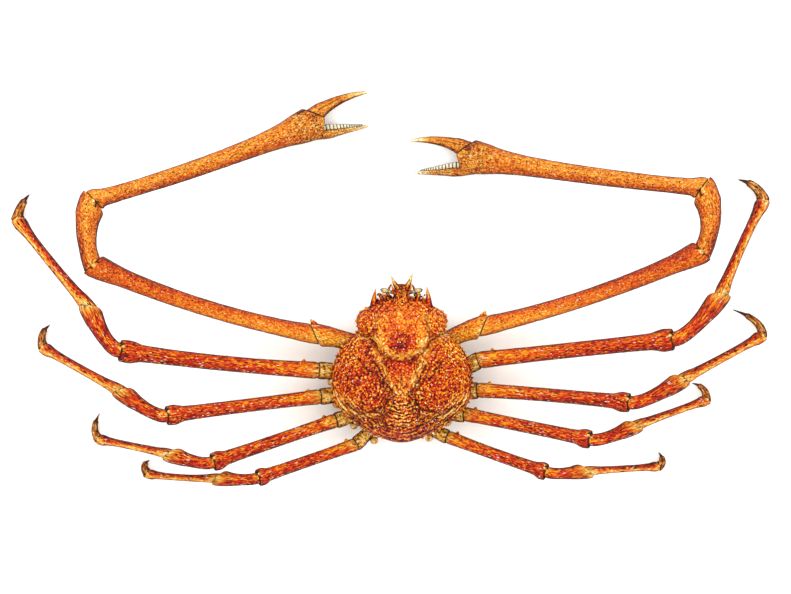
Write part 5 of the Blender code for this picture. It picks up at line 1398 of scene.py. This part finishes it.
headSet = {
    # root, tip and root radius of the spines on the front edge
    "spines": {
        "horn_left": ((-0.0085, 0.2080, 0.0960), (-0.0215, 0.2335, 0.1060), 0.0060),
        "horn_right": ((0.0105, 0.2080, 0.0960), (0.0232, 0.2395, 0.1060), 0.0062),
        "orbit_spine_left": ((-0.0600, 0.1560, 0.0900), (-0.0551, 0.2050, 0.1000), 0.0090),
        "orbit_spine_right": ((0.0585, 0.1560, 0.0900), (0.0540, 0.2095, 0.1000), 0.0090),
        "brow_spine_left": ((-0.0300, 0.1740, 0.0960), (-0.0400, 0.2000, 0.1040), 0.0055),
        "brow_spine_right": ((0.0300, 0.1740, 0.0960), (0.0385, 0.2010, 0.1040), 0.0055),
        "small_spine_left": ((-0.0130, 0.1950, 0.1030), (-0.0215, 0.2170, 0.1070), 0.0038),
        "small_spine_right": ((0.0130, 0.1950, 0.1030), (0.0220, 0.2170, 0.1070), 0.0038),
    },
    "eye": {"x": 0.018, "y": 0.1985, "z": 0.0930, "length": 0.0265, "forward": 0.006, "stalk": 0.0044,
            "bulb": 0.0058},
    "feeler": ((0.030, 0.1903, 0.0770), (0.031, 0.199, 0.0765), (0.027, 0.209, 0.0785),
               (0.0215, 0.2165, 0.0820)),
    "feelerRadii": (0.0046, 0.0042, 0.0026, 0.0011),
}

# tones and paint of the head's pieces, as on the limbs
hornLook = {"root": (0.24, 0.44, 0.56, 0.44, 0.24), "far": (0.66, 0.82, 0.90, 0.82, 0.66), "turn": (0.1, 0.6),
            "flanks": (0.30, 0.30), "shine": 0.04, "pits": 0.10, "ivory": 0.45, "calm": 0.45, "outline": 0.55}
redHornLook = {"root": (0.16, 0.34, 0.46, 0.34, 0.16), "far": (0.50, 0.70, 0.80, 0.70, 0.50),
               "turn": (0.35, 0.9),
               "flanks": (0.20, 0.20), "shine": 0.03, "pits": 0.12, "calm": 0.35, "outline": 0.45}

# Head shell: as on the back, but its flecks are finer
headShell = shellFinish("varnishedHeadShell", stretch=1.4, streaks=1.2, cells=0.5, cell=0.0024, dot=0.0040)
for spineName, (spineRoot, spineTip, spineRadius) in headSet["spines"].items():
    spineForm = ((0.0, spineRadius * 1.2, spineRadius * 1.2), (0.2, spineRadius * 0.95, spineRadius * 0.95),
                 (0.55, spineRadius * 0.62, spineRadius * 0.62), (0.85, spineRadius * 0.30,
                                                                  spineRadius * 0.30),
                 (1.0, spineRadius * 0.10, spineRadius * 0.10))
    sign = -1 if spineName.endswith("left") else 1
    horn = tubePiece("carapace_" + spineName, bendOf(spineRoot, spineTip, -sign * 0.0012), spineForm, 20,
                     spacing=0.0016, tip=True, waves=0.00025, look=hornLook if "horn" in spineName
                     else redHornLook)
    dress(horn, headShell, "carapace_shell", "carapace")

prowForm = ((0.0, 0.027, 0.014), (0.35, 0.022, 0.0125), (0.62, 0.0174, 0.0118), (0.86, 0.0140, 0.0095),
            (1.0, 0.0060, 0.0062))
prowLook = dict(hornLook, root=(0.30, 0.48, 0.55, 0.48, 0.30), far=(0.28, 0.46, 0.54, 0.46, 0.28), pits=0.34,
                ivory=0.12, calm=0.0)
prow = tubePiece("carapace_prow", bendOf((0.0, 0.148, 0.0975), (0.0, 0.2165, 0.0935)), prowForm, 48,
                 squareness=2.8, spacing=0.0016, waves=0.0007, look=prowLook,
                 dents=((0.55, 1.1, 90, 0.0016, 0.0018), (0.35, 1.1, 50, 0.0013, 0.0010),
                       (0.35, 1.1, 130, 0.0013, 0.0010)))
dress(prow, headShell, "carapace_shell", "carapace")

blockForm = ((0.0, 0.043, 0.0105), (0.6, 0.043, 0.0110), (0.9, 0.0415, 0.0105), (1.0, 0.038, 0.0085))
block = tubePiece("carapace_mouth_frame", bendOf((0.0, 0.150, 0.0778), (0.0, 0.1895, 0.0778)), blockForm, 64,
                  squareness=4.0, spacing=0.0018, waves=0.0006, look=dict(prowLook, ivory=0.25, pits=0.45))
dress(block, headShell, "carapace_shell", "carapace")


# Eye: a horny stalk with a clouded, glassy cornea over its end, so it is pale and shines most of all
def makeEyeFinish():
    material, tree, shader = newFinish("clearEyeCornea", 0.18, 1.0, 0.04)
    place = coordinates(tree)
    cloud = drift(tree, place, 0.004, 3.0)
    along = reckon(tree, "MULTIPLY_ADD", cloud, 0.16, ranged(tree, painted(tree, "tone"), 0.156, 0.844))
    ramp = addNode(tree, "ValToRGB", {0: along},
                   ((0.06, "3A200E"), (0.20, "1A100A"), (0.34, "C8A050"), (0.44, "1C120C"), (0.54, "A08A40"),
                    (0.78, "C4AC5C"), (0.95, "806430"), (1.0, "4A3824")))
    colour = blend(tree, painted(tree, "dark"), ramp.outputs[0], tint("140C08"))
    facets = addNode(tree, "TexVoronoi", {"Vector": place, "Scale": 1 / 0.0009}).outputs["Distance"]
    setSurface(tree, shader, colour, (facets, 0.25, 0.0003), ranged(tree, cloud, 0.0, 1.0, 0.10, 0.30))
    return material


eyeFinish = makeEyeFinish()
# outline: painted shade along the edges seen from above, strong on the eyes
eyeLook = {"root": (0.0, 0.0), "far": (1.0, 1.0), "turn": (-0.5, 1.5), "flanks": (0.0, 0.0), "shine": 0.0,
           "pits": 0.0, "rim": 0.0, "outline": 0.85}
feelerLook = {"root": (0.24, 0.46, 0.58, 0.46, 0.24), "far": (0.30, 0.54, 0.64, 0.54, 0.30),
              "turn": (0.2, 0.9),
              "flanks": (0.20, 0.20), "shine": 0.02, "pits": 0.10, "rim": 1.0}
for eyeSide, eyeSign in (("left", -1), ("right", 1)):
    eye = headSet["eye"]
    eyeRoot = np.array([eyeSign * (eye["x"] + gap), eye["y"], eye["z"]])
    eyeEnd = eyeRoot + np.array([eyeSign * eye["length"], eye["forward"], 0.0])
    stalk, bulb = eye["stalk"], eye["bulb"]
    eyeForm = ((0.00, stalk, stalk), (0.15, stalk * 0.90, stalk * 0.90), (0.34, stalk * 0.94, stalk * 0.94),
               (0.42, stalk * 1.08, stalk * 1.08), (0.47, bulb * 0.80, bulb * 0.80),
               (0.56, bulb * 0.97, bulb * 0.97),
               (0.68, bulb, bulb), (0.84, bulb * 0.88, bulb * 0.88), (0.95, bulb * 0.58, bulb * 0.58),
               (1.0, bulb * 0.20, bulb * 0.20))
    eyePiece = tubePiece(f"eye_{eyeSide}_stalk", bendOf(eyeRoot, eyeEnd), eyeForm, 32,
                         np.array([eyeSign * 1.0, 0.0, 0.0]), None, 0.0, spacing=0.0008, tip=True,
                         waves=0.0001, look=eyeLook)
    dress(eyePiece, eyeFinish, "eye", f"eye_{eyeSide}")
    # feeler: short swollen joints, thinner towards the tip
    joints = np.array(headSet["feeler"]) * np.array([eyeSign, 1.0, 1.0])
    feeler = bendOf(joints[0], joints[-1], handle=joints[1] * 0.7 + joints[2] * 0.5 - joints[0] * 0.1
                    - joints[3] * 0.1)
    radii = headSet["feelerRadii"]
    feelerForm = []
    for step in range(13):
        at = step / 12
        size = float(np.interp(at, (0, 0.33, 0.70, 1.0), radii))
        feelerForm.append((at, size * (1.0 if step % 3 else 0.80), size * (1.0 if step % 3 else 0.80)))
    feelerPiece = tubePiece(f"antenna_{eyeSide}_joints", feeler, feelerForm, 20, np.array([0.0, 1.0, 0.0]),
                            None, 0.0,
                            spacing=0.0007, tip=True, waves=0.0001, look=feelerLook)
    dress(feelerPiece, headShell, "feeler", f"antenna_{eyeSide}")


# crowded small spines around the eye sockets and on the prow: place and half size of each patch of them
crowdSet = {
    "patches": (((0.040, 0.187, 0.090), (0.012, 0.008), 16), ((0.024, 0.185, 0.092), (0.008, 0.007), 12),
                ((0.014, 0.190, 0.100), (0.005, 0.012), 12), ((0.006, 0.203, 0.104), (0.006, 0.008), 8),
                ((0.053, 0.176, 0.089), (0.009, 0.008), 12)),
    "height": (0.0030, 0.0062),
    "radius": (0.0015, 0.0027),
    "seed": 23,
}


def crowdedSpines():
    draw = random.Random(crowdSet["seed"])
    spikes = bmesh.new()
    for place, half, count in crowdSet["patches"]:
        for _ in range(count):
            for sign in (-1, 1):
                foot = np.array([sign * (place[0] + draw.uniform(-1, 1) * half[0]),
                                 place[1] + draw.uniform(-1, 1) * half[1],
                                 place[2] + draw.uniform(-0.001, 0.001)])
                lean = np.array([sign * draw.uniform(0.0, 0.7), draw.uniform(0.2, 1.1), 0.8])
                bluntSpike(spikes, foot, unit(lean), draw.uniform(*crowdSet["height"]),
                           draw.uniform(*crowdSet["radius"]), 7)
    spikeLayer(spikes, 0.10, 0.84, 0.45)
    dress(meshObject("carapace_crowded_spines", spikes), spikeShell, "carapace_shell", "carapace")


crowdedSpines()
print("head made")

# Underside shell: thinner, smoother and paler than the back, cream with orange clouds and brown seams
bellyLook = {
    "clouds": ((0.30, "7A3A14"), (0.44, "A06A30"), (0.58, "B08A54"), (0.75, "BEA880")),
    "spot": "9A4A1C",
    "cloudSize": 0.014,
    "dotSize": 0.004,
    "dotShare": 0.10,
}


def makeBellyFinish():
    material, tree, shader = newFinish("smoothBellyShell", 0.45, 0.2, 0.2)
    place = coordinates(tree)
    cloud = drift(tree, place, bellyLook["cloudSize"], 5.0, 0.65)
    ramp = addNode(tree, "ValToRGB", {0: cloud}, bellyLook["clouds"])
    dots = addNode(tree, "TexVoronoi", {"Vector": place, "Scale": 1 / bellyLook["dotSize"]}).outputs
    choice = addNode(tree, "SeparateColor", {0: dots["Color"]}).outputs["Red"]
    pit = reckon(tree, "MULTIPLY", ranged(tree, dots["Distance"], 0.40, 0.25),
                 reckon(tree, "LESS_THAN", choice, bellyLook["dotShare"]))
    colour = blend(tree, pit, ramp.outputs[0], tint(bellyLook["spot"]))
    setSurface(tree, shader, colour, (cloud, 0.4, 0.0012), ranged(tree, cloud, 0.0, 1.0, 0.34, 0.58))
    return material


bellyFinish = makeBellyFinish()
for nodeName in ("thorax", "abdomen", "maxilliped_left", "maxilliped_right"):
    # a welded copy of the solid with softened edges
    bm = bmesh.new()
    bm.from_mesh(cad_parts[nodeName].data)
    bmesh.ops.remove_doubles(bm, verts=bm.verts[:], dist=1e-5)
    bmesh.ops.dissolve_limit(bm, angle_limit=math.radians(2), verts=bm.verts[:], edges=bm.edges[:])
    sharp = [edge for edge in bm.edges if edge.is_manifold and edge.calc_face_angle() > math.radians(12)]
    bmesh.ops.bevel(bm, geom=sharp, offset=0.0012, offset_type="OFFSET", segments=3, profile=0.5,
                    affect="EDGES",
                    material=-1, clamp_overlap=True)
    soft = meshObject(nodeName + "_shell", bm)
    dress(soft, bellyFinish, "underside_shell", nodeName)
print("underside made")

# Floor, light and camera

studioSet = {
    "floorHalf": 9.0,
    "floorTints": ((0.3, "F2F2F0"), (0.7, "F6F6F4")),
    "roomTint": "FDFEFF",
    "worldStrength": 1.78,
    # place, aim, size, power
    "lamps": (((-1.9, 2.6, 3.0), (0.0, 0.2, 0.0), 1.6, 40.0), ((2.4, -0.6, 3.2), (0.0, 0.2, 0.0), 2.4, 18.0)),
    "cameraPlace": (-0.01286, 0.18859, 11.771),
    "lens": 250.0,
}


def makeStudio():
    # a floor of matt painted board, nearly white
    bm = bmesh.new()
    bmesh.ops.create_grid(bm, x_segments=8, y_segments=8, size=studioSet["floorHalf"],
                          matrix=Matrix.Translation((0, 0, -0.0003)))
    floor = meshObject("floor", bm)
    material, tree, shader = newFinish("mattPaintedBoard", 0.9, specular=0.2)
    grain = drift(tree, coordinates(tree), 0.025)
    ramp = addNode(tree, "ValToRGB", {0: grain}, studioSet["floorTints"])
    tree.links.new(ramp.outputs[0], shader.inputs["Base Color"])
    floor.data.materials.append(material)
    scene = bpy.context.scene
    world = bpy.data.worlds.new("softRoom")
    scene.world = world
    world.use_nodes = True
    sky = world.node_tree.nodes["Background"]
    sky.inputs["Color"].default_value = tint(studioSet["roomTint"])
    sky.inputs["Strength"].default_value = studioSet["worldStrength"]
    for k, (lampPlace, aim, size, power) in enumerate(studioSet["lamps"]):
        light = bpy.data.lights.new(f"softLamp{k}", "AREA")
        light.shape = "DISK"
        light.size = size
        light.energy = power
        lamp = bpy.data.objects.new(f"softLamp{k}", light)
        scene.collection.objects.link(lamp)
        lamp.location = lampPlace
        lamp.rotation_euler = (Vector(lampPlace) - Vector(aim)).to_track_quat("Z", "Y").to_euler()
        lamp.visible_camera = False
    camera = bpy.data.objects.new("overheadCamera", bpy.data.cameras.new("overheadCamera"))
    scene.collection.objects.link(camera)
    camera.location = studioSet["cameraPlace"]
    camera.data.lens = studioSet["lens"]
    camera.data.sensor_width = 36.0
    camera.data.clip_end = 60.0
    scene.camera = camera
    scene.view_settings.view_transform = "Standard"


makeStudio()
print("floor, light and camera set")
